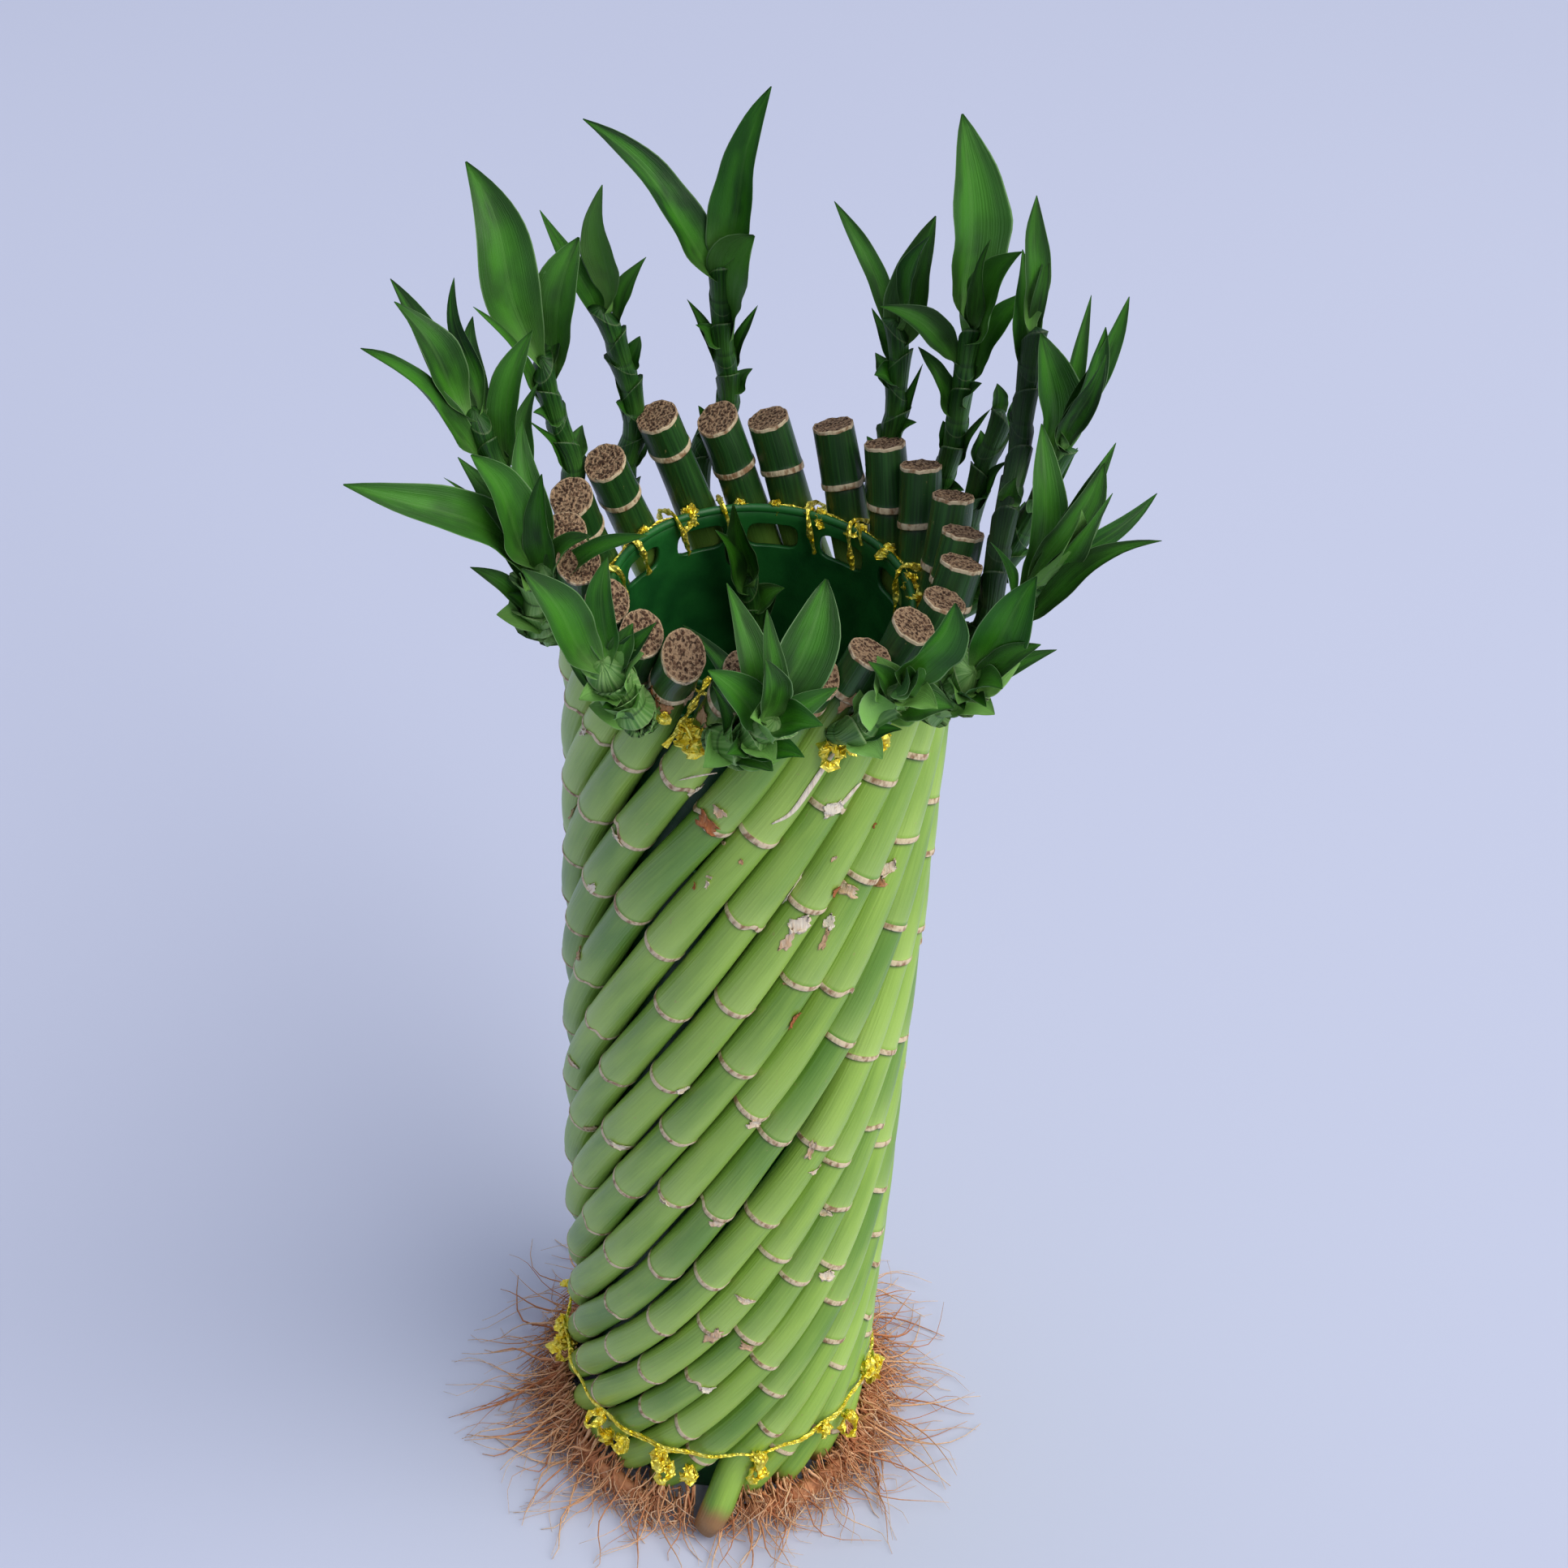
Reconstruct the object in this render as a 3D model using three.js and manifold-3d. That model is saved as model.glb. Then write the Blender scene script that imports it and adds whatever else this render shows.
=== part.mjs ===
// A bare-root lucky bamboo tower: 21 stalks wound side by side round a hollow
// green plastic cylinder, laced to it with gold foil wire at the top and the foot.
// Millimetres, +Z up. The origin is on the tower's axis, at the surface it stands on.
// Azimuths are in degrees: 0 is the front, at -Y, and they grow towards +X at 90.
import * as THREE from 'three';
import { mergeVertices } from 'three/addons/utils/BufferGeometryUtils.js';
import Module from 'manifold-3d';

const wasm = await Module();
wasm.setup();

// The plastic cylinder and the windows in its wall.
const CYLINDER = { radius: 41.5, wall: 1.5, height: 365, facets: 24 };
const TOP_WINDOWS = { count: 12, width: 15, height: 10, corner: 2.6, azimuth: 177, middle: 357 };
const LOW_WINDOWS = { count: 4, width: 15, height: 12, azimuths: [345, 303], middles: [303, 243] };
// How far a window's cutter reaches inside and outside the wall.
const CUTTER = { inside: 6, outside: 4 };

// The stalks: a five-sided section, one corner inwards, that swells to a ring at each node.
const CLEARANCE = 0.35;
const STALK = { sides: 5, waist: 5.45, middle: 5.7, ring: 5.95, cut: 5.5, ringStep: 0.9 };
// Straight stretches between nodes cut the curve's corner by up to this much.
const CHORD_SAG = 0.35;
const TRACK = CYLINDER.radius + CLEARANCE + STALK.ring + CHORD_SAG;
const OUTWARD = { start: 360, slope: 0.16 };
const FOOT = { lowest: 5.2, spread: 5 };
const NODE_FREE_FOOT = 17;
// The radius that the stalks' outer corners reach.
const OUTER_FACE = TRACK + STALK.ring * Math.cos(Math.PI / STALK.sides);
const OUTSIDE = Math.hypot(OUTER_FACE, STALK.ring * Math.sin(Math.PI / STALK.sides));

// How far the stalks lean from the vertical, as [height, degrees].
const LEAN = [[0, 34], [85, 31], [130, 25], [190, 26], [265, 25], [330, 24.5], [365, 19], [395, 16]];
const TWIST_ZERO = 388;

// Every stalk: the azimuth and height of its sawn end, how far below the end its first
// and second nodes are, the spacing of the rest, and how many degrees the saw cut leans
// to the front.
const STALKS = [
  [0, 379, 12, 43.5, 31, 15], [21.2, 378, 10, 56, 48, 25], [35.4, 381.5, 12.5, 62.5, 55, 0],
  [49.6, 384.5, 12.5, 56.5, 45, 15], [67.2, 383, 13, 53, 42, 8], [81.4, 385.5, 11.5, 54.5, 38, 0],
  [95.4, 386, 15, 39, 50, 0], [109.6, 388, 20, 50, 38.8, 0], [128.7, 387, 17, 47.6, 33.4, 0],
  [143.7, 387, 18, 69, 40, 0], [161.5, 387, 18, 45, 30, 0], [182, 386, 16, 57.5, 45.7, 8],
  [197.4, 386.5, 16, 59.5, 42, 20], [215.4, 391, 11.5, 56, 41, 8],
  [239.4, 385.5, 13.5, 54.5, 38, 10], [261.4, 387, 13, 53, 43, 10], [280, 388, 14, 50, 36, 10],
  [297, 391, 16, 56, 44, 10], [312.9, 387, 12, 52, 40, 10], [327.2, 383, 17, 48, 36, 15],
  [341.5, 381, 13, 46, 33, 25],
].map(([azimuth, height, first, second, spacing, saw]) => ({
  azimuth, height, first, second, spacing, saw,
}));
// Low down the stalks are evenly spaced, this many degrees from the first azimuth.
const EVEN_OFFSET = -4.4;
const EVEN_BELOW = 280;
const UNEVEN_ABOVE = 375;

// Two stalks part on the way up, pushing their neighbours less and less, and the foot
// of one has slipped outwards.
const PARTED = { gap: 7.5, height: 200, reach: 38, degrees: 2.6, fade: 0.38 };
const SLIPPED = { stalk: 13, above: 33, out: 13.5, turn: 8, foot: 4.6 };

// Gold foil wire. The top tie is a hoop that lies on the rim. Its strands run over the rim
// through these [radius, height] points, in the gaps between stalks that are at least this
// many degrees wide. The foot tie is a hoop outside the stalks.
const WIRE = { radius: 0.65, sides: 3, segments: 21 };
const TOP_TIE = {
  ring: CYLINDER.radius - CYLINDER.wall / 2,
  height: CYLINDER.height + WIRE.radius,
  widest: 17.7,
  route: [[OUTSIDE + 1.6, 352], [TRACK + 2, 365.1], [CYLINDER.radius - 1, 366.6], [38.4, 364.6], [38.2, 353]],
};
const FOOT_TIE = { ring: OUTSIDE + 1.6, height: 38, knotEvery: 4, knotOut: 0.6 };
const KNOT = 1.7;

// Roots. Pairs are the least and the most of a value that is drawn by chance.
const ROOTS = {
  clumps: 7, strands: 6, steps: 4, seed: 8,
  inner: OUTSIDE + 0.4, outer: 59, chamfer: 1.5, step: 0.5, low: 1.2, high: [9.1, 15.6],
  spread: 2, reach: [70, 92], swing: [-7, 7], from: [3, 11], arch: [2, 5], tip: [1.2, 2.2],
  sides: 3, thick: [1, 1.7], taper: [1, 0.9, 0.45],
};
// Degrees kept free on each side of the slipped stalk, and between clumps.
const ROOT_GAPS = { slipped: 14, between: 5 };

// Leaves and their stems.
const STEM = { sides: 5, waist: 3.2, flare: 4.2, sheath: 13, lip: 0.1, tip: 1.4 };
const LEAF = {
  stations: 4, thickness: 1.2, cup: 0.45, baseCup: 0.3, offset: 2, rise: 0.3,
  blunt: 0.03, taper: 1.2, roundness: 0.9, wave: 0.7, ripple: 9, phase: 2.4,
  broad: 1.18, light: [0, -0.74, 0.67], turned: 2.2, turnedBy: 0.35,
};

// Every shoot: the stalk it grows from, the height of its foot, its stem's points
// and its leaves, each with where it leaves the stem (0 foot, 1 end), its tip and
// its width. A taper above 1 moves the widest place towards the tip. Points are
// [azimuth, radius, height].
const SHOOTS = [
  {
    name: 'shoot_back_left', stalk: 13, foot: 355,
    stem: [[199, 61, 368], [192, 61, 385], [194, 61, 406], [195, 63, 426]],
    leaves: [
      { at: 0.94, tip: [220, 84, 467], width: 12, taper: 0.85 },
      { at: 1, tip: [184, 70.5, 476.5], width: 12.5, taper: 0.85 },
      { at: 0.7, tip: [187.5, 55, 441.5], width: 16, taper: 3 },
    ],
  },
  {
    name: 'shoot_left_back', stalk: 14, foot: 354,
    stem: [[223, 59, 368], [219, 60, 386], [221, 62, 402], [225, 65, 420]],
    leaves: [
      { at: 1, tip: [224.5, 67, 457.5], width: 9 },
      { at: 0.84, tip: [231.5, 81.5, 447.5], width: 6 },
      { at: 0.92, tip: [215.5, 61, 436], width: 5 },
    ],
  },
  {
    name: 'shoot_left_rear', stalk: 15, foot: 354,
    stem: [[245, 59, 367], [241, 61, 382], [242, 66, 397], [243, 69, 412]],
    leaves: [
      { at: 1, tip: [240, 95, 462], width: 14.5 },
      { at: 0.88, tip: [231, 67.5, 445], width: 12.5, taper: 1.6 },
      { at: 0.8, tip: [253, 82, 433.5], width: 4 },
    ],
  },
  {
    name: 'shoot_left_upper', stalk: 16, foot: 354,
    stem: [[266, 59, 366], [263, 66, 384], [263, 73, 397], [262, 77, 408]],
    leaves: [
      { at: 0.86, tip: [251.5, 106.5, 434.5], width: 7 },
      { at: 0.98, tip: [262.5, 97.5, 440.5], width: 10.5 },
      { at: 0.78, tip: [272, 103, 436.5], width: 8.5 },
      { at: 1, tip: [254, 86, 442], width: 5 },
      { at: 0.7, tip: [249.5, 67, 428], width: 9.5 },
      { at: 0.56, tip: [249, 66, 412], width: 6.5 },
    ],
  },
  {
    name: 'shoot_left_lower', stalk: 17, foot: 354,
    stem: [[285, 58, 360], [288, 60, 367], [289, 61, 375], [289, 61, 383]],
    leaves: [
      { at: 0.88, tip: [289, 109.5, 418], width: 12.5 },
      { at: 0.97, tip: [280.5, 79.5, 413.5], width: 8 },
      { at: 1, tip: [286.5, 77, 419.5], width: 13 },
      { at: 0.82, tip: [290.5, 60, 414.5], width: 9 },
      { at: 0.9, tip: [269, 63.5, 415], width: 8 },
      { at: 0.55, tip: [287.5, 78.5, 386], width: 5.5 },
      { at: 0.7, tip: [317, 42, 404.5], width: 6.5 },
      { at: 0.86, tip: [302.5, 51.5, 401], width: 7.5, taper: 1.5 },
    ],
  },
  {
    name: 'shoot_front_left', stalk: 20, foot: 356,
    stem: [[330, 59, 364], [327, 62, 371], [325, 65, 379]],
    leaves: [
      { at: 0.96, tip: [315, 81.5, 412.5], width: 11.5 },
      { at: 1, tip: [318, 57, 406], width: 8 },
      { at: 0.84, tip: [334, 57.5, 394], width: 5 },
      { at: 0.66, tip: [320, 68, 376.5], width: 5.5 },
      { at: 0.42, tip: [313, 65.5, 375], width: 6.5 },
    ],
  },
  {
    name: 'shoot_front', stalk: 0, foot: 357,
    stem: [[352, 59, 362], [358, 62, 366], [3, 64, 374]],
    leaves: [
      { at: 0.9, tip: [22, 42, 401], width: 14, taper: 1.4 },
      { at: 0.8, tip: [347.5, 41.5, 399], width: 5, taper: 1 },
      { at: 0.86, tip: [349.5, 66.5, 391], width: 10.5 },
      { at: 1, tip: [1.5, 66, 396], width: 9.5, taper: 1 },
      { at: 0.78, tip: [19.5, 60.5, 381], width: 6.5 },
      { at: 0.95, tip: [13, 74.5, 381.5], width: 9.5 },
      { at: 0.6, tip: [355, 73.5, 371], width: 6.5, taper: 1 },
      { at: 0.62, tip: [10.5, 71, 368.5], width: 7.5 },
    ],
  },
  {
    name: 'shoot_front_right', stalk: 2, foot: 357,
    stem: [[24, 59, 364], [30, 61, 369], [35, 63, 376]],
    leaves: [
      { at: 1, tip: [43, 69, 404.5], width: 14.5 },
      { at: 0.88, tip: [27, 59.5, 386.5], width: 5.5 },
      { at: 0.8, tip: [42.5, 73.5, 374], width: 10 },
      { at: 0.95, tip: [35, 68.5, 387.5], width: 8.5 },
    ],
  },
  {
    name: 'shoot_right_front', stalk: 4, foot: 354,
    stem: [[49, 59, 361], [50, 65, 368], [49, 71, 378]],
    leaves: [
      { at: 1, tip: [55, 81, 411], width: 12.5 },
      { at: 0.9, tip: [52.5, 87, 395], width: 7 },
      { at: 0.76, tip: [59.5, 86.5, 386.5], width: 5 },
      { at: 0.66, tip: [44, 82, 379], width: 7 },
      { at: 0.85, tip: [46, 84, 384.5], width: 8.5, taper: 1.4 },
    ],
  },
  {
    name: 'shoot_right', stalk: 5, foot: 354,
    stem: [[65, 60, 365], [68, 66, 377], [70, 72, 387]],
    leaves: [
      { at: 0.94, tip: [86, 67.5, 427.5], width: 10 },
      { at: 0.9, tip: [81, 86.5, 429], width: 7.5 },
      { at: 0.82, tip: [88.5, 100, 407], width: 5, taper: 1.5 },
      { at: 1, tip: [69.5, 82, 418], width: 9 },
      { at: 0.97, tip: [71, 89, 424.5], width: 7 },
      { at: 0.72, tip: [70, 103.5, 415.5], width: 7.5 },
      { at: 0.98, tip: [78.5, 84.5, 425], width: 10.5, taper: 1.5 },
    ],
  },
  {
    name: 'shoot_right_tall', stalk: 6, foot: 354,
    stem: [[80, 60, 366], [84, 61, 382], [90, 62, 394], [98, 65, 406], [104, 67, 420], [106, 68, 438]],
    leaves: [
      { at: 1, tip: [113, 67.5, 473.5], width: 7 },
      { at: 0.86, tip: [116, 67.5, 456.5], width: 7 },
    ],
  },
  {
    name: 'shoot_right_upper', stalk: 7, foot: 354,
    stem: [[95, 60, 366], [94, 66, 382], [94, 71, 397], [95, 75, 411]],
    leaves: [
      { at: 0.9, tip: [100, 67, 443.5], width: 14.5 },
      { at: 0.95, tip: [90, 81.5, 445.5], width: 6 },
      { at: 1, tip: [96.5, 87, 456.5], width: 6.5 },
      { at: 0.84, tip: [107.5, 83, 447.5], width: 4.5 },
      { at: 0.97, tip: [94.5, 81.5, 449.5], width: 8 },
    ],
  },
  {
    name: 'shoot_right_stub', stalk: 8, foot: 354,
    stem: [[114, 59, 368], [113, 61, 386], [113, 64, 400], [113, 66, 408]],
    leaves: [
      { at: 1, tip: [116.5, 65.5, 416.5], width: 5, taper: 1 },
    ],
  },
  {
    name: 'shoot_back_right', stalk: 9, foot: 355,
    stem: [[130, 59, 370], [126, 61, 390], [128, 64, 406], [130, 67, 422]],
    leaves: [
      { at: 1, tip: [141.5, 70, 480], width: 18.5 },
      { at: 0.86, tip: [150, 53, 427.5], width: 8.5 },
      { at: 0.94, tip: [122, 73, 450.5], width: 13.5 },
      { at: 0.97, tip: [126, 66, 453.5], width: 4.5 },
      { at: 0.8, tip: [123.5, 78, 436.5], width: 8.5 },
      { at: 0.66, tip: [139, 57.5, 417.5], width: 7, taper: 0.85 },
    ],
  },
  {
    name: 'shoot_back', stalk: 10, foot: 354,
    stem: [[148, 59, 368], [146, 60, 388], [147, 62, 404], [149, 63, 416]],
    leaves: [
      { at: 0.95, tip: [170, 76, 442], width: 6, taper: 1 },
      { at: 0.9, tip: [148, 76.5, 445], width: 12, taper: 0.9 },
      { at: 1, tip: [142.5, 63.5, 447], width: 7 },
      { at: 0.76, tip: [150, 54, 405.5], width: 7.5 },
    ],
  },
  {
    name: 'shoot_inner', stalk: 12, foot: 303,
    stem: [[168, 36, 303], [173, 32.5, 315], [182, 32.5, 329], [187, 33, 342]],
    leaves: [
      { at: 1, tip: [196, 34, 371], width: 8.5, taper: 1 },
      { at: 0.94, tip: [206, 32, 364], width: 7.5, taper: 1 },
      { at: 0.84, tip: [168, 31, 344], width: 7.5, taper: 1 },
    ],
  },
];

const radians = THREE.MathUtils.degToRad;
const lerp = THREE.MathUtils.lerp;
const smooth = THREE.MathUtils.smoothstep;

// A repeatable number from 0 to 1 for a pair of counters.
function chance(first, second) {
  const wave = Math.sin(first * 12.9898 + second * 78.233) * 43758.5453;
  return wave - Math.floor(wave);
}

// A point from its azimuth, radius and height.
function place([azimuth, radius, height]) {
  const turn = radians(azimuth);
  return new THREE.Vector3(radius * Math.sin(turn), -radius * Math.cos(turn), height);
}

function leanAt(height) {
  const next = LEAN.findIndex(([level]) => level >= height);
  const upper = LEAN[Math.max(next, 1)];
  const lower = LEAN[Math.max(next, 1) - 1];
  const share = THREE.MathUtils.clamp((height - lower[0]) / (upper[0] - lower[0]), 0, 1);
  return lerp(lower[1], upper[1], share);
}

// Degrees that a stalk turns round the axis per millimetre of height.
const turnRate = (height) => Math.tan(radians(leanAt(height))) / TRACK / radians(1);

// The turn from this height up to the sawn ends, summed millimetre by millimetre.
function twistBelow(height) {
  let turn = 0;
  const direction = height <= TWIST_ZERO ? 1 : -1;
  const span = Math.abs(TWIST_ZERO - height);
  for (let step = 0; step < span; step += 1) {
    const length = Math.min(1, span - step);
    turn += direction * length * turnRate(TWIST_ZERO - direction * (step + length / 2));
  }
  return turn;
}

const PITCH = 360 / STALKS.length;
const OFFSETS = STALKS.map(({ azimuth }, stalk) => azimuth - stalk * PITCH);

// How much of its slip a stalk has at a height, from 0 to 1.
function slipShare(stalk, height) {
  return stalk === SLIPPED.stalk ? 1 - smooth(height, 0, SLIPPED.above) : 0;
}

// A stalk's azimuth: evenly spaced low down, at its own place near the top.
function stalkAzimuth(stalk, height) {
  const own = smooth(height, EVEN_BELOW, UNEVEN_ABOVE) * (OFFSETS[stalk] - EVEN_OFFSET);
  const bulge = Math.exp(-(((height - PARTED.height) / PARTED.reach) ** 2));
  const fromGap = Math.abs(stalk - PARTED.gap) - 0.5;
  const push = Math.sign(stalk - PARTED.gap) * Math.max(0, 1 - PARTED.fade * fromGap);
  const moved = push * bulge * PARTED.degrees + slipShare(stalk, height) * SLIPPED.turn;
  return stalk * PITCH + EVEN_OFFSET + own + moved - twistBelow(height);
}

function stalkCentre(stalk, height) {
  const slip = slipShare(stalk, height);
  const radius = TRACK + Math.max(0, height - OUTWARD.start) * OUTWARD.slope + SLIPPED.out * slip;
  return place([stalkAzimuth(stalk, height), radius, height]);
}

// A closed body through rings of points. A ring of one point is a tip. Quads split
// the same way on both faces of a leaf when alike is true.
function loft(rings, alike = false) {
  const positions = [];
  const triangle = (a, b, c) => positions.push(a.x, a.y, a.z, b.x, b.y, b.z, c.x, c.y, c.z);
  for (let level = 0; level < rings.length - 1; level += 1) {
    const low = rings[level];
    const high = rings[level + 1];
    const count = Math.max(low.length, high.length);
    for (let side = 0; side < count; side += 1) {
      const next = (side + 1) % count;
      if (high.length === 1) {
        triangle(low[side], low[next], high[0]);
      } else if (low.length === 1) {
        triangle(low[0], high[next], high[side]);
      } else if (alike && side >= count / 2) {
        triangle(low[side], low[next], high[side]);
        triangle(low[next], high[next], high[side]);
      } else {
        triangle(low[side], low[next], high[next]);
        triangle(low[side], high[next], high[side]);
      }
    }
  }
  const foot = rings[0];
  const head = rings[rings.length - 1];
  for (let side = 1; side < foot.length - 1; side += 1) triangle(foot[0], foot[side + 1], foot[side]);
  for (let side = 1; side < head.length - 1; side += 1) triangle(head[0], head[side], head[side + 1]);
  const geometry = new THREE.BufferGeometry();
  geometry.setAttribute('position', new THREE.Float32BufferAttribute(positions, 3));
  return mergeVertices(geometry);
}

function toSolid(geometry) {
  const plain = geometry.clone();
  plain.deleteAttribute('normal');
  plain.deleteAttribute('uv');
  const merged = mergeVertices(plain, 1e-4);
  const mesh = new wasm.Mesh({
    numProp: 3,
    vertProperties: new Float32Array(merged.attributes.position.array),
    triVerts: new Uint32Array(merged.index.array),
  });
  return new wasm.Manifold(mesh);
}

// The largest body of a solid, as a geometry.
function toGeometry(solid) {
  const bodies = solid.decompose();
  bodies.sort((one, other) => other.volume() - one.volume());
  const mesh = bodies[0].getMesh();
  const geometry = new THREE.BufferGeometry();
  geometry.setAttribute('position', new THREE.BufferAttribute(new Float32Array(mesh.vertProperties), 3));
  geometry.setIndex(new THREE.BufferAttribute(new Uint32Array(mesh.triVerts), 1));
  return geometry;
}

// A ring of points round a centre, in the plane across the direction.
function ringAcross(centre, direction, outward, radius, sides) {
  const along = direction.clone().normalize();
  const out = outward.clone().addScaledVector(along, -outward.dot(along)).normalize();
  const across = new THREE.Vector3().crossVectors(along, out);
  return Array.from({ length: sides }, (_, side) => {
    const turn = (2 * Math.PI * side) / sides;
    return centre.clone()
      .addScaledVector(out, radius * Math.cos(turn))
      .addScaledVector(across, radius * Math.sin(turn));
  });
}

// The height at a distance along a stalk below its sawn end.
function heightBelowEnd(stalk, distance) {
  let height = STALKS[stalk].height;
  for (let gone = 0; gone < distance; gone += 1) {
    height -= Math.min(1, distance - gone) * Math.cos(radians(leanAt(height)));
  }
  return height;
}

// The heights of a stalk's nodes, from the top down.
function nodeHeights(stalk) {
  const { first, second, spacing } = STALKS[stalk];
  const heights = [heightBelowEnd(stalk, first)];
  let distance = second;
  let height = heightBelowEnd(stalk, distance);
  while (height > NODE_FREE_FOOT) {
    heights.push(height);
    distance += spacing;
    height = heightBelowEnd(stalk, distance);
  }
  return heights;
}

// One stalk. Each internode narrows on its way up, and the next one starts with a ring
// that stands proud of it. Grown is how much fatter than life it is made.
function stalkGeometry(stalk, grown = 0) {
  const { height: end, saw } = STALKS[stalk];
  const foot = stalk === SLIPPED.stalk ? SLIPPED.foot : FOOT.lowest + FOOT.spread * chance(stalk, 2);
  const levels = [[foot, STALK.waist]];
  for (const height of nodeHeights(stalk).reverse()) {
    const below = levels[levels.length - 1][0];
    levels.push([(below + height) / 2, STALK.middle]);
    levels.push([height - STALK.ringStep, STALK.waist], [height, STALK.ring]);
  }
  levels.push([end + grown, STALK.cut]);
  const rings = levels.map(([height, radius]) => {
    const centre = stalkCentre(stalk, height);
    const direction = stalkCentre(stalk, height + 0.5).sub(stalkCentre(stalk, height - 0.5));
    const inward = new THREE.Vector3(-centre.x, -centre.y, 0);
    const size = radius + grown / Math.cos(Math.PI / STALK.sides);
    return ringAcross(centre, direction, inward, size, STALK.sides);
  });
  const top = stalkCentre(stalk, end);
  for (const point of rings[rings.length - 1]) {
    point.z += (point.y - top.y) * Math.tan(radians(saw));
  }
  return loft(rings);
}

// A round tube with flat sides along points, each with its own radius.
function tubeGeometry(points, radii, sides, reference) {
  const rings = points.map((point, index) => {
    const before = points[Math.max(index - 1, 0)];
    const after = points[Math.min(index + 1, points.length - 1)];
    return ringAcross(point, after.clone().sub(before), reference, radii[index], sides);
  });
  return loft(rings);
}

// A stem of nested sheaths. Its foot starts inside the stalk, and is cut to it later.
function stemCurve(shoot) {
  const foot = stalkCentre(shoot.stalk, shoot.foot);
  return new THREE.CatmullRomCurve3([foot, ...shoot.stem.map(place)], false, 'catmullrom', 0.5);
}

function stemSolid(curve) {
  const sheaths = Math.max(2, Math.round(curve.getLength() / STEM.sheath));
  const rings = [];
  for (let sheath = 0; sheath < sheaths; sheath += 1) {
    const from = sheath / sheaths;
    const to = (sheath + 1) / sheaths;
    for (const [share, radius] of [[from, STEM.waist], [to - STEM.lip / sheaths, STEM.flare]]) {
      const centre = curve.getPointAt(share);
      const outward = new THREE.Vector3(centre.x, centre.y, 1);
      rings.push(ringAcross(centre, curve.getTangentAt(share), outward, radius, STEM.sides));
    }
  }
  const end = curve.getPointAt(1).addScaledVector(curve.getTangentAt(1), STEM.tip * 2);
  rings.push([end]);
  return toSolid(loft(rings));
}

// A leaf along a curve that leaves the stem upwards and bends to its tip. Its section
// is a shallow V, deeper where it clasps the stem, with waved edges. It faces its stem
// where it clasps it, and turns to the light further out.
function leafSolid(curve, leaf, index) {
  const joint = curve.getPointAt(leaf.at);
  const stemWay = curve.getTangentAt(leaf.at);
  const tip = place(leaf.tip);
  const away = tip.clone().sub(joint);
  const sideways = away.clone().addScaledVector(stemWay, -away.dot(stemWay)).normalize();
  const base = joint.addScaledVector(sideways, LEAF.offset);
  const reach = tip.clone().sub(base);
  const bend = base.clone().addScaledVector(stemWay, LEAF.rise * reach.length());
  const spine = new THREE.QuadraticBezierCurve3(base, bend, tip);
  const light = new THREE.Vector3(...LEAF.light);
  const rings = [];
  for (let station = 0; station < LEAF.stations; station += 1) {
    const share = station / LEAF.stations;
    const centre = spine.getPoint(share);
    const along = spine.getTangent(share);
    const lit = LEAF.turned * smooth(share, 0, LEAF.turnedBy);
    const facing = stemWay.clone().sub(sideways).addScaledVector(light, lit);
    const up = facing.clone().addScaledVector(along, -facing.dot(along)).normalize();
    const across = new THREE.Vector3().crossVectors(along, up);
    const taper = leaf.taper ?? LEAF.taper;
    const reached = LEAF.blunt + (1 - LEAF.blunt) * share ** taper;
    const half = LEAF.broad * (leaf.width / 2) * Math.sin(Math.PI * reached) ** LEAF.roundness;
    const cup = LEAF.cup + LEAF.baseCup * (1 - share) ** 3;
    const wave = LEAF.wave * Math.sin(LEAF.ripple * share + LEAF.phase * index);
    const edge = (side) => centre.clone()
      .addScaledVector(across, side * half * Math.cos(cup))
      .addScaledVector(up, half * Math.sin(cup) + side * wave);
    const middle = centre.clone().addScaledVector(up, LEAF.thickness / 2);
    const under = centre.clone().addScaledVector(up, -LEAF.thickness / 2);
    rings.push([edge(1), under, edge(-1), middle]);
  }
  rings.push([tip]);
  return toSolid(loft(rings, true));
}

function shootSolid(shoot) {
  const curve = stemCurve(shoot);
  return shoot.leaves.reduce(
    (solid, leaf, index) => solid.add(leafSolid(curve, leaf, index)),
    stemSolid(curve),
  );
}

// A radial block with cut corners, for a window in the cylinder's wall.
function windowCutter(azimuth, middle, width, height, corner) {
  const half = [width / 2, height / 2];
  const outline = corner === 0
    ? [[-half[0], -half[1]], [half[0], -half[1]], [half[0], half[1]], [-half[0], half[1]]]
    : [
      [-half[0] + corner, -half[1]], [half[0] - corner, -half[1]],
      [half[0], -half[1] + corner], [half[0], half[1] - corner],
      [half[0] - corner, half[1]], [-half[0] + corner, half[1]],
      [-half[0], half[1] - corner], [-half[0], -half[1] + corner],
    ];
  const turn = radians(azimuth);
  const across = new THREE.Vector3(Math.cos(turn), Math.sin(turn), 0);
  const reach = [CYLINDER.radius - CUTTER.inside, CYLINDER.radius + CUTTER.outside];
  const rings = reach.map((radius) => outline.map(([side, rise]) => (
    place([azimuth, radius, middle + rise]).addScaledVector(across, side)
  )));
  return toSolid(loft(rings));
}

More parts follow.
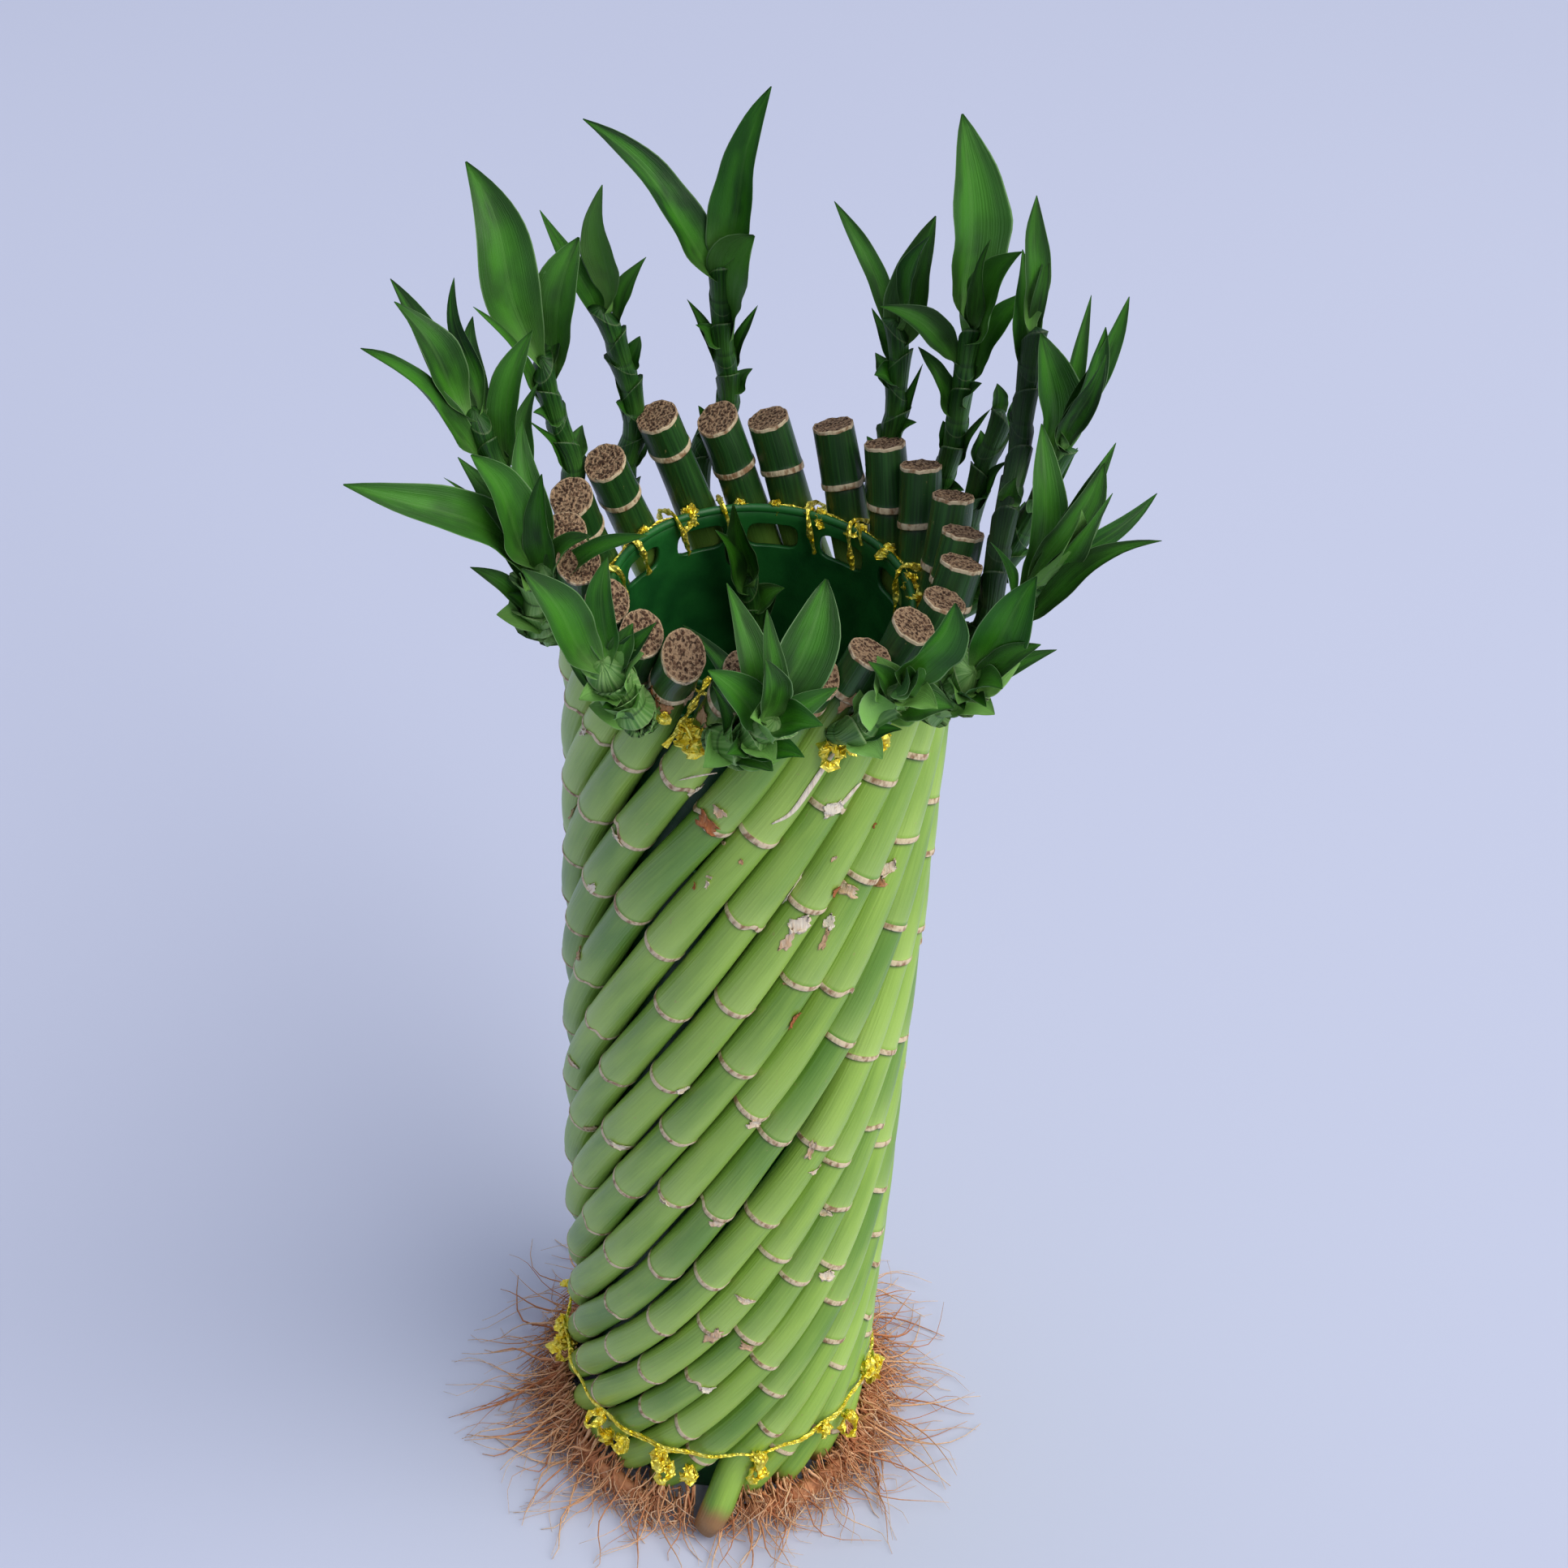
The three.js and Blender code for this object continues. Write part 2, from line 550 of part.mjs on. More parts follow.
function cylinderGeometry() {
  const { radius, wall, height, facets } = CYLINDER;
  const ring = (size, level) => Array.from(
    { length: facets },
    (_, facet) => place([(360 / facets) * facet, size, level]),
  );
  const outside = toSolid(loft([ring(radius, 0), ring(radius, height)]));
  const inside = toSolid(loft([ring(radius - wall, -1), ring(radius - wall, height + 1)]));
  let solid = outside.subtract(inside);
  for (let index = 0; index < TOP_WINDOWS.count; index += 1) {
    const azimuth = TOP_WINDOWS.azimuth + (360 / TOP_WINDOWS.count) * index;
    const { middle, width, height: tall, corner } = TOP_WINDOWS;
    solid = solid.subtract(windowCutter(azimuth, middle, width, tall, corner));
  }
  LOW_WINDOWS.middles.forEach((middle, row) => {
    for (let index = 0; index < LOW_WINDOWS.count; index += 1) {
      const start = LOW_WINDOWS.azimuths[row % LOW_WINDOWS.azimuths.length];
      const azimuth = start + (360 / LOW_WINDOWS.count) * index;
      solid = solid.subtract(windowCutter(azimuth, middle, LOW_WINDOWS.width, LOW_WINDOWS.height, 0));
    }
  });
  return toGeometry(solid);
}

// A closed hoop of wire.
function hoopSolid(ring, height) {
  const { radius, sides, segments } = WIRE;
  const sections = Array.from({ length: segments + 1 }, (_, index) => {
    const azimuth = (360 / segments) * (index % segments);
    const out = place([azimuth, 1, 0]);
    return Array.from({ length: sides }, (__, side) => {
      const turn = (2 * Math.PI * side) / sides;
      return place([azimuth, ring, height])
        .addScaledVector(out, radius * Math.cos(turn))
        .add(new THREE.Vector3(0, 0, -radius * Math.sin(turn)));
    });
  });
  const half = Math.round(segments / 2);
  const front = toSolid(loft(sections.slice(0, half + 1)));
  const back = toSolid(loft(sections.slice(half)));
  return front.add(back);
}

function knotSolid(azimuth, radius, height) {
  const knot = new THREE.OctahedronGeometry(KNOT);
  knot.translate(...place([azimuth, radius, height]));
  return toSolid(knot);
}

// The azimuth midway between a stalk and the next one.
function gapAzimuth(stalk, height) {
  const next = (stalk + 1) % STALKS.length;
  const step = next === 0 ? 360 : 0;
  return (stalkAzimuth(stalk, height) + stalkAzimuth(next, height) + step) / 2;
}

function gapDegrees(stalk) {
  const next = (stalk + 1) % STALKS.length;
  return (STALKS[next].azimuth - STALKS[stalk].azimuth + 360) % 360;
}

// The top tie: a hoop, and a strand through each wide gap that goes over the rim
// and down inside the cylinder.
function topTieGeometry() {
  let solid = hoopSolid(TOP_TIE.ring, TOP_TIE.height);
  STALKS.forEach((_, stalk) => {
    if (gapDegrees(stalk) < TOP_TIE.widest) return;
    const points = TOP_TIE.route.map(([radius, height]) => place([gapAzimuth(stalk, height), radius, height]));
    const radii = points.map(() => WIRE.radius);
    const sideways = place([gapAzimuth(stalk, TOP_TIE.height) + 90, 1, 0]);
    solid = solid.add(toSolid(tubeGeometry(points, radii, WIRE.sides, sideways)));
  });
  return toGeometry(solid);
}

function footTieGeometry() {
  let solid = hoopSolid(FOOT_TIE.ring, FOOT_TIE.height);
  STALKS.forEach((_, stalk) => {
    if (stalk % FOOT_TIE.knotEvery === 0) {
      const azimuth = gapAzimuth(stalk, FOOT_TIE.height);
      solid = solid.add(knotSolid(azimuth, FOOT_TIE.ring + FOOT_TIE.knotOut, FOOT_TIE.height));
    }
  });
  return toGeometry(solid);
}

// A clump of roots: a low matted ridge along the feet of three stalks, with
// tapering strands that splay out from it to the surface.
function rootGeometry(clump) {
  const first = stalkAzimuth(SLIPPED.stalk, FOOT.lowest) + ROOT_GAPS.slipped;
  const span = (360 - 2 * ROOT_GAPS.slipped) / ROOTS.clumps;
  const start = first + clump * span;
  const end = start + span - ROOT_GAPS.between;
  const rings = Array.from({ length: ROOTS.steps + 1 }, (_, step) => {
    const azimuth = lerp(start, end, step / ROOTS.steps);
    const high = lerp(...ROOTS.high, chance(clump * 9 + step, ROOTS.seed));
    return [
      place([azimuth, ROOTS.inner, ROOTS.low]),
      place([azimuth, ROOTS.inner + ROOTS.step, high]),
      place([azimuth, ROOTS.outer - ROOTS.chamfer, high]),
      place([azimuth, ROOTS.outer, ROOTS.low]),
    ];
  });
  let solid = toSolid(loft(rings));
  for (let strand = 0; strand < ROOTS.strands; strand += 1) {
    const draw = (key) => chance(clump * 31 + strand, ROOTS.seed + key);
    const share = (strand + 0.25 + 0.5 * draw(1)) / ROOTS.strands;
    const azimuth = lerp(start + ROOTS.spread, end - ROOTS.spread, share);
    const reach = lerp(...ROOTS.reach, draw(2));
    const swing = lerp(...ROOTS.swing, draw(3));
    const from = lerp(...ROOTS.from, draw(4));
    const arch = 0.6 * from + lerp(...ROOTS.arch, draw(5));
    const points = [
      place([azimuth, ROOTS.inner + ROOTS.spread, from]),
      place([azimuth + swing / 2, (ROOTS.outer + reach) / 2, arch]),
      place([azimuth + swing, reach, lerp(...ROOTS.tip, draw(6))]),
    ];
    const thick = lerp(...ROOTS.thick, draw(7));
    const radii = ROOTS.taper.map((taper) => thick * taper);
    solid = solid.add(toSolid(tubeGeometry(points, radii, ROOTS.sides, new THREE.Vector3(0, 0, 1))));
  }
  return toGeometry(solid);
}

const SKIN = {
  stalk: { color: 0x7fae4a, roughness: 0.42, metalness: 0 },
  leaf: { color: 0x2c5f22, roughness: 0.36, metalness: 0 },
  root: { color: 0x96603c, roughness: 0.85, metalness: 0 },
  plastic: { color: 0x14603a, roughness: 0.4, metalness: 0 },
  foil: { color: 0xe2b822, roughness: 0.25, metalness: 1 },
};

const tower = new THREE.Group();
tower.name = 'lucky_bamboo_tower';

function addPiece(name, geometry, skin) {
  const flat = geometry.index ? geometry.toNonIndexed() : geometry;
  flat.computeVertexNormals();
  const mesh = new THREE.Mesh(flat, new THREE.MeshStandardMaterial(skin));
  mesh.name = name;
  tower.add(mesh);
}

const number = (index) => String(index + 1).padStart(2, '0');

addPiece('plastic_cylinder', cylinderGeometry(), SKIN.plastic);

STALKS.forEach((_, stalk) => addPiece(`stalk_${number(stalk)}`, stalkGeometry(stalk), SKIN.stalk));

const grownStalks = STALKS.map((_, stalk) => toSolid(stalkGeometry(stalk, CLEARANCE)));

for (const shoot of SHOOTS) {
  const cut = grownStalks.reduce((solid, stalk) => solid.subtract(stalk), shootSolid(shoot));
  addPiece(shoot.name, toGeometry(cut), SKIN.leaf);
}

addPiece('tie_top', topTieGeometry(), SKIN.foil);
addPiece('tie_foot', footTieGeometry(), SKIN.foil);

for (let clump = 0; clump < ROOTS.clumps; clump += 1) {
  addPiece(`roots_${number(clump)}`, rootGeometry(clump), SKIN.root);
}

export default tower;
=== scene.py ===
# %% [markdown]
# # A lucky bamboo tower
# Twenty-one sawn stalks of lucky bamboo stand round a green plastic cylinder. They all
# lean the same way, so together they wind about two thirds of a turn round it. Shoots of
# leaves grow from their tops, gold foil wire laces them on, and their bare roots splay
# over the table. This lesson dresses the plain solids of that tower, piece by piece.
#
# The solids come first. They say where everything is, so each new piece is worked out
# from the same numbers, in millimetres, and only its mesh is put into metres.

import bpy
import numpy as np
from mathutils import Matrix, Vector


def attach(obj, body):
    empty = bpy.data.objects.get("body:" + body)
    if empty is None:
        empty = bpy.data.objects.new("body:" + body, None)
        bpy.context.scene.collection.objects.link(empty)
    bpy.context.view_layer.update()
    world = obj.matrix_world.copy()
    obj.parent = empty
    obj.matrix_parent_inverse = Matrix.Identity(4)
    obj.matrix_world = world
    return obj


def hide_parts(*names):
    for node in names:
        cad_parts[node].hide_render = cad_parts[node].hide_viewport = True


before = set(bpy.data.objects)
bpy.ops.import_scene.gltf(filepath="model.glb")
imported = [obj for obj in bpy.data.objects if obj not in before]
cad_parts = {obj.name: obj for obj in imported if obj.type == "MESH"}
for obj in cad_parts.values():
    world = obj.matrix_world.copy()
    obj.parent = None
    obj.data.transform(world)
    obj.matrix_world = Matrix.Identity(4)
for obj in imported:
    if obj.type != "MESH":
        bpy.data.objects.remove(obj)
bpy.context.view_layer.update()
MM = 0.001

# %% [markdown]
# ## The camera
# The picture looks down on the tower from the front. The camera's place was found from
# the tower's outline, so that a point of the picture can be followed back onto the
# stalks. Small things, such as scraps of dry sheath, are put where that sight line ends.

# %% A camera at the picture's viewing angle
def add_object(name, data):
    """Puts a mesh, a lamp or a camera into the scene, as an object at the origin."""
    thing = bpy.data.objects.new(name, data)
    bpy.context.scene.collection.objects.link(thing)
    return thing


PHOTO_WIDTH = 1932
FOCAL_PIXELS = 3076.5
SENSOR = 36
DISTANCE = 714.55
AIM_HEIGHT = 296.98
DOWNWARD, SIDEWAYS, ROLLED = np.radians([41.84, -1.02, 3.99])

eye = np.array([0, -DISTANCE * np.cos(DOWNWARD), AIM_HEIGHT + DISTANCE * np.sin(DOWNWARD)])
ahead = np.array([
    np.sin(-SIDEWAYS) * np.cos(DOWNWARD), np.cos(SIDEWAYS) * np.cos(DOWNWARD), -np.sin(DOWNWARD),
])
level_right = np.cross(ahead, [0, 0, 1])
level_right /= np.linalg.norm(level_right)
level_up = np.cross(level_right, ahead)
view_right = np.cos(ROLLED) * level_right + np.sin(ROLLED) * level_up
view_up = np.cos(ROLLED) * level_up - np.sin(ROLLED) * level_right

camera_data = bpy.data.cameras.new("camera")
camera_data.lens = SENSOR * FOCAL_PIXELS / PHOTO_WIDTH
camera_data.sensor_width = SENSOR
camera_data.clip_end = 100
camera = add_object("camera", camera_data)
placed = np.eye(4)
placed[:3, :3] = np.stack([view_right, view_up, -ahead], 1)
placed[:3, 3] = eye * MM
camera.matrix_world = Matrix(placed.tolist())
bpy.context.scene.camera = camera
print("camera at", (eye * MM).round(3), "lens", round(camera_data.lens, 2), "mm")


# %% Sight lines through points of the picture
def sight(x, y):
    """The direction through a picture point: ahead, plus its offsets along right and up."""
    across = (np.asarray(x, float) - PHOTO_WIDTH / 2) / FOCAL_PIXELS
    down = (np.asarray(y, float) - PHOTO_WIDTH / 2) / FOCAL_PIXELS
    return ahead + across[..., None] * view_right - down[..., None] * view_up


def azimuth_of(points):
    """Degrees round the axis from the front, growing to the right."""
    return np.degrees(np.arctan2(points[..., 0], -points[..., 1]))


def seen_on_tower(x, y, radius):
    """Azimuth and height where a sight line first meets a cylinder round the axis.

    It is the smaller root of |eye + t * direction| = radius, taken in plan.
    """
    direction = sight(x, y)
    square = direction[..., 0] ** 2 + direction[..., 1] ** 2
    half = eye[0] * direction[..., 0] + eye[1] * direction[..., 1]
    rest = eye[0] ** 2 + eye[1] ** 2 - radius**2
    reach = (-half - np.sqrt(np.maximum(half**2 - square * rest, 0))) / square
    points = eye + reach[..., None] * direction
    return azimuth_of(points), points[..., 2]


def azimuth_at_height(x, y, height):
    """Azimuth where a sight line passes a level."""
    direction = sight(x, y)
    return azimuth_of(eye + ((height - eye[2]) / direction[..., 2])[..., None] * direction)


print("a point on the tower has azimuth and height", np.round(seen_on_tower(930, 1200, 54), 1))

# %% [markdown]
# ## The tower's measures
# These numbers repeat the ones that the solids were made from: the path of each stalk,
# its nodes, and the curve of each shoot. The stalks lean more near the table than near
# their tops. Their turn round the axis is the lean summed up over the height, so one
# table of sums serves all of them.

# %% The stalks' measures
# Millimetres and degrees. The track is the radius on which the stalks' axes stand.
CYLINDER = {"radius": 41.5, "wall": 1.5, "height": 365}
STALK = {"waist": 5.72, "belly": 6.18, "ring": 6.42, "notch": 0.16, "cut": 5.65, "wide_lean": 25}
TRACK = 48.15
OUTWARD = {"start": 360, "slope": 0.16}
FOOT = {"lowest": 5.2, "spread": 5}
NODE_FREE_FOOT = 17
TWIST_ZERO = 388
EVEN_BELOW = 280
UNEVEN_ABOVE = 375
# Two neighbours part on the way up, and one stalk has slipped outwards at its foot.
PARTED = {"gap": 7.5, "height": 200, "reach": 38, "degrees": 2.6, "fade": 0.38}
SLIPPED = {"stalk": 13, "above": 33, "out": 13.5, "turn": 8, "foot": 4.6}

# Azimuth and height of the sawn end, first and second node below it, the spacing of the
# rest, and the degrees that the saw cut leans to the front.
STALKS = np.array([
    (0, 379, 12, 43.5, 31, 15), (21.2, 378, 10, 56, 48, 25), (35.4, 381.5, 12.5, 62.5, 55, 0),
    (49.6, 384.5, 12.5, 56.5, 45, 15), (67.2, 383, 13, 53, 42, 8),
    (81.4, 385.5, 11.5, 54.5, 38, 0), (95.4, 386, 15, 39, 50, 0), (109.6, 388, 20, 50, 38.8, 0),
    (128.7, 387, 17, 47.6, 33.4, 0), (143.7, 387, 18, 69, 40, 0), (161.5, 387, 18, 45, 30, 0),
    (182, 386, 16, 57.5, 45.7, 8), (197.4, 386.5, 16, 59.5, 42, 20), (215.4, 391, 11.5, 56, 41, 8),
    (239.4, 385.5, 13.5, 54.5, 38, 10), (261.4, 387, 13, 53, 43, 10), (280, 388, 14, 50, 36, 10),
    (297, 391, 16, 56, 44, 10), (312.9, 387, 12, 52, 40, 10), (327.2, 383, 17, 48, 36, 15),
    (341.5, 381, 13, 46, 33, 25),
])
COUNT = len(STALKS)
SPACING = 360 / COUNT
OFFSETS = STALKS[:, 0] - np.arange(COUNT) * SPACING
EVEN_OFFSET = -4.4
print("stalks:", COUNT, "on average", round(SPACING, 2), "degrees apart")

# %% How far the stalks wind and how long they are
# Height and lean from upright.
LEAN = np.transpose([
    (0, 34), (85, 31), (130, 25), (190, 26), (265, 25), (330, 24.5), (365, 19), (395, 16),
])
LEVEL_STEP = 0.5
HIGHEST_LEVEL = 431


def lean_at(height):
    """The stalks' lean at a height, in radians."""
    return np.radians(np.interp(height, *LEAN))


def summed(steps):
    """Nought, then the sum of the steps up to each one."""
    return np.concatenate([[0], np.cumsum(steps)])


levels = np.arange(0, HIGHEST_LEVEL, LEVEL_STEP)
leans = lean_at(levels[:-1])
turn_sums = summed(np.degrees(np.tan(leans) / TRACK) * LEVEL_STEP)
length_sums = summed(LEVEL_STEP / np.cos(leans))


def turn_below(height):
    """The degrees that a stalk winds between the table and a height."""
    return np.interp(height, levels, turn_sums)


def length_below(height):
    """The length of a stalk between the table and a height."""
    return np.interp(height, levels, length_sums)


print("the stalks wind", round(float(turn_below(TWIST_ZERO))), "degrees")


# %% Soft steps, bumps and chance
def smooth(value, low, high):
    """0 below low, 1 above high, and 3t^2 - 2t^3 between them."""
    share = np.clip((value - low) / (high - low), 0, 1)
    return share * share * (3 - 2 * share)


def bump(value, width, power=2):
    """1 at nought, falling away on both sides: exp(-(value / width)^power)."""
    return np.exp(-((value / width) ** power))


def chance(first, second):
    """A repeatable number from 0 to 1: the decimals of a large multiple of a sine."""
    wave = np.sin(first * 12.9898 + second * 78.233) * 43758.5453
    return wave - np.floor(wave)


# A chance number times this is a phase anywhere in a wave.
ANY_PHASE = 6.3
print("two chances:", round(chance(1, 1), 3), round(chance(1, 2), 3))


# %% Points and directions
IN_PLAN = [1, 1, 0]


def stacked(x, y, z):
    """Points from arrays of their three numbers, spread to one shape."""
    return np.stack(np.broadcast_arrays(x, y, z), -1).astype(float)


def place(azimuth, radius, height):
    """Points from azimuth, radius and height: (r sin a, -r cos a, h)."""
    turn = np.radians(azimuth)
    return stacked(radius * np.sin(turn), -radius * np.cos(turn), height)


def unit(vectors):
    return vectors / np.linalg.norm(vectors, axis=-1, keepdims=True)


def frame_on(ways, reference):
    """Two directions square to each way: the reference made square to it, and their cross."""
    out = unit(reference - ways * (reference * ways).sum(-1, keepdims=True))
    return out, np.cross(ways, out)


print("a point at 90 degrees on the track:", place(90, TRACK, 0).round(2))


# %% Where a stalk is
def slip_share(stalk, height):
    """How much of its slip a stalk has at a height."""
    if stalk != SLIPPED["stalk"]:
        return 0.0 * height
    return 1 - smooth(height, 0, SLIPPED["above"])


def stalk_azimuth(stalk, height):
    """Even spacing low down, the stalk's own place near the top, less the turn below it."""
    own = smooth(height, EVEN_BELOW, UNEVEN_ABOVE) * (OFFSETS[stalk] - EVEN_OFFSET)
    from_gap = abs(stalk - PARTED["gap"]) - 0.5
    push = np.sign(stalk - PARTED["gap"]) * max(0, 1 - PARTED["fade"] * from_gap)
    parted = push * bump(height - PARTED["height"], PARTED["reach"]) * PARTED["degrees"]
    moved = parted + slip_share(stalk, height) * SLIPPED["turn"]
    turned = turn_below(TWIST_ZERO) - turn_below(height)
    return stalk * SPACING + EVEN_OFFSET + own + moved - turned


def stalk_centre(stalk, height):
    """The stalk's axis: on the track, tipping outwards near the top."""
    outward = np.maximum(0, height - OUTWARD["start"]) * OUTWARD["slope"]
    radius = TRACK + outward + SLIPPED["out"] * slip_share(stalk, height)
    return place(stalk_azimuth(stalk, height), radius, height)


def stalk_frame(stalk, height):
    """Centre, way along, way out and way across at heights of a stalk."""
    centre = stalk_centre(stalk, height)
    along = unit(stalk_centre(stalk, height + 0.5) - stalk_centre(stalk, height - 0.5))
    return centre, along, *frame_on(along, centre * IN_PLAN)


def node_places(stalk):
    """The foot's height, the stalk's length, and its nodes' distances above the foot."""
    _, end, first, second, spacing, _ = STALKS[stalk]
    foot = FOOT["lowest"] + FOOT["spread"] * chance(stalk, 2)
    if stalk == SLIPPED["stalk"]:
        foot = SLIPPED["foot"]
    length = length_below(end) - length_below(foot)
    nodes = length - np.append(first, np.arange(second, length, spacing))
    lowest = length_below(NODE_FREE_FOOT) - length_below(foot)
    return foot, length, np.sort(nodes[nodes > lowest])


def height_along(foot, distance):
    """The height at a distance along a stalk above its foot."""
    return np.interp(length_below(foot) + distance, length_sums, levels)


print("stalk 1 has", len(node_places(0)[2]), "nodes on", round(node_places(0)[1]), "mm")

# %% [markdown]
# ## From grids to meshes
# Nearly everything here is a grid of points: rows along a path, columns round it. A
# bevelled curve would be quicker to make, but its section can't swell on one side or
# carry a pattern. A closed tube needs only quads between neighbouring rows and a fan of
# triangles at each end. Several tubes can be put into one mesh, with values at their
# points that the materials read later.

# %% Rings and closed tubes
def ring_angles(count):
    return 2 * np.pi * np.arange(count) / count


def section(centres, out, across, x, y):
    """A ring of points at each centre: centre + x * out + y * across."""
    return centres[:, None] + x[..., None] * out[:, None] + y[..., None] * across[:, None]


def ring_round(centres, out, across, radius, turns):
    """A round ring at each centre, whose radius may change as it turns."""
    return section(centres, out, across, radius * np.cos(turns), radius * np.sin(turns))


def around(column, sides):
    """One value a row, repeated for every point of the row's ring."""
    return np.repeat(np.reshape(column, (-1, 1)), sides, 1)


def ring_quads(rings, sides):
    """Quads between neighbouring rings, whose points are numbered ring after ring."""
    ring = np.arange(sides)
    after = (ring + 1) % sides
    base = np.arange(rings - 1)[:, None] * sides
    quads = [base + ring, base + after, base + sides + after, base + sides + ring]
    return np.stack(quads, -1).reshape(-1, 4)


def listed(grid):
    """A grid's entries in one list, and then the mean of its first and of its last ring."""
    sides = grid.shape[1]
    flat = grid.reshape(len(grid) * sides, -1)
    return np.concatenate([flat, [flat[:sides].mean(0), flat[-sides:].mean(0)]])


def closed_tube(rows, **values):
    """A closed shell through rings of points, with a fan to the mean of each end ring."""
    count, sides, _ = rows.shape
    ring = np.arange(sides)
    after = (ring + 1) % sides
    last = (count - 1) * sides
    fans = np.concatenate([
        np.stack([np.full(sides, count * sides), after, ring], -1),
        np.stack([np.full(sides, count * sides + 1), last + ring, last + after], -1),
    ])
    return {
        "points": listed(rows),
        "quads": ring_quads(count, sides),
        "fans": fans,
        "values": {name: listed(value) for name, value in values.items()},
    }


print("a tube of 3 rings of 4 points has", len(closed_tube(np.zeros((3, 4, 3)))["points"]), "points")


# %% Many shells in one piece
def starts(parts):
    """The number of each part's first point, when the parts are joined in order."""
    return np.cumsum([0] + [len(part) for part in parts[:-1]])


def put_in(name, shells, material, slot, *replaced):
    """Joins shells into one mesh in metres, with their values as point attributes."""
    parts = [shell["points"] for shell in shells]
    faces = []
    for kind in ("quads", "fans"):
        shifted = [shell[kind] + shift for shell, shift in zip(shells, starts(parts))]
        faces += np.concatenate(shifted).tolist()
    mesh = bpy.data.meshes.new(name)
    mesh.from_pydata((np.concatenate(parts) * MM).tolist(), [], faces)
    for key in shells[0]["values"]:
        data = np.concatenate([shell["values"][key] for shell in shells])
        kind, field = ("FLOAT_VECTOR", "vector") if data.shape[1] == 3 else ("FLOAT", "value")
        attribute = mesh.attributes.new(key, kind, "POINT")
        attribute.data.foreach_set(field, data.ravel().astype(np.float32))
    mesh.materials.append(material)
    mesh.shade_smooth()
    piece = add_object(name, mesh)
    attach(piece, "root")
    if replaced:
        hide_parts(*replaced)
    return piece


print("shells of 5, 3 and 4 points start at", starts([range(5), range(3), range(4)]))

# %% [markdown]
# ## Mixing materials
# A material is a sum of masks and colours. The editor shows it as boxes and wires. As
# plain sums in Python it reads like the recipe it is, so one small class stands for a
# socket and adds the maths nodes, and another adds all the rest.
# Colours are given as the eye reads them, from 0 to 255, and turned into linear light.

# %% Colours and sums of sockets
def shade(seen):
    """A colour as the eye reads it, undone to linear light by the usual screen curve."""
    seen = np.array(seen) / 255
    linear = np.where(seen <= 0.04045, seen / 12.92, ((seen + 0.055) / 1.055) ** 2.4)
    return (*linear.tolist(), 1.0)


class Flow:
    """An output socket. Sums with numbers or other flows add Math nodes."""

    def __init__(self, paint, socket):
        self.paint = paint
        self.socket = socket

    def math(self, operation, first, second):
        return self.paint.node("Math", {"operation": operation}, {0: first, 1: second})

    def __add__(self, other):
        return self.math("ADD", self, other)

    def __sub__(self, other):
        return self.math("SUBTRACT", self, other)

    def __rsub__(self, other):
        return self.math("SUBTRACT", other, self)

    def __mul__(self, other):
        return self.math("MULTIPLY", self, other)

    __radd__ = __add__
    __rmul__ = __mul__


print("mid grey in linear light:", round(shade((128, 128, 128))[0], 3))


# %% A material in the making
class Paint:
    """A material and its nodes. One method adds any node."""

    def __init__(self, name, constants):
        self.material = bpy.data.materials.new(name)
        self.material.use_nodes = True
        self.tree = self.material.node_tree
        self.shader = self.tree.nodes["Principled BSDF"]
        for socket, value in constants.items():
            self.shader.inputs[socket].default_value = value

    def connect(self, socket, value):
        """Links a flow to the socket, or sets the socket to a plain value."""
        if isinstance(value, Flow):
            self.tree.links.new(value.socket, socket)
        else:
            socket.default_value = value

    def node(self, kind, settings, inputs, output=0):
        """Adds a node of a kind, with its settings, inputs and the output to go on from."""
        node = self.tree.nodes.new("ShaderNode" + kind)
        for key, value in settings.items():
            setattr(node, key, value)
        for key, value in inputs.items():
            self.connect(node.inputs[key], value)
        return Flow(self, node.outputs[output])

    def value(self, attribute):
        """A number that was laid on the mesh's points."""
        return self.node("Attribute", {"attribute_name": attribute}, {}, "Fac")

    def vector(self, attribute, stretch):
        """A place in a pattern that was laid on the mesh's points, stretched."""
        read = self.node("Attribute", {"attribute_name": attribute}, {}, "Vector")
        return self.node("VectorMath", {"operation": "MULTIPLY"}, {0: read, 1: stretch})

    def object_place(self):
        return self.node("TexCoord", {}, {}, "Object")

    def noise(self, vector, scale, detail):
        return self.node("TexNoise", {}, {"Vector": vector, "Scale": scale, "Detail": detail}, "Fac")

    def grain(self, across, along, detail=3.0):
        """Noise that follows a stalk or a stem, with its scale across and along it."""
        return self.noise(self.vector("grain", (across, across, along)), 1.0, detail)

    def cells(self, vector, scale):
        return self.node("TexVoronoi", {}, {"Vector": vector, "Scale": scale}, "Distance")

    def step(self, value, low, high):
        """A mask that is 0 below low and 1 above high, and soft between them."""
        ends = {"Value": value, "From Min": low, "From Max": high}
        return self.node("MapRange", {"interpolation_type": "SMOOTHSTEP"}, ends)

    def mix(self, mask, first, second):
        """The first colour where the mask is 0 and the second where it is 1."""
        first, second = (color if isinstance(color, Flow) else shade(color) for color in (first, second))
        return self.node("Mix", {"data_type": "RGBA"}, {0: mask, 6: first, 7: second}, 2)

    def between(self, value, low, high, first, second):
        """The first colour where a value is below low and the second where it is above high."""
        return self.mix(self.step(value, low, high), first, second)

    def layers(self, color, *layers):
        """Lays colours over a first one, each where its own mask is 1."""
        for mask, over in layers:
            color = self.mix(mask, color, over)
        return color

    def finish(self, color, roughness, height, depth):
        """Feeds the shader. The height is in shares of the depth, which is in metres."""
        bump_node = self.node("Bump", {}, {"Height": height, "Distance": depth})
        for socket, value in {"Base Color": color, "Roughness": roughness, "Normal": bump_node}.items():
            self.connect(self.shader.inputs[socket], value)
        print(self.material.name, "has", len(self.tree.nodes), "nodes")
        return self.material


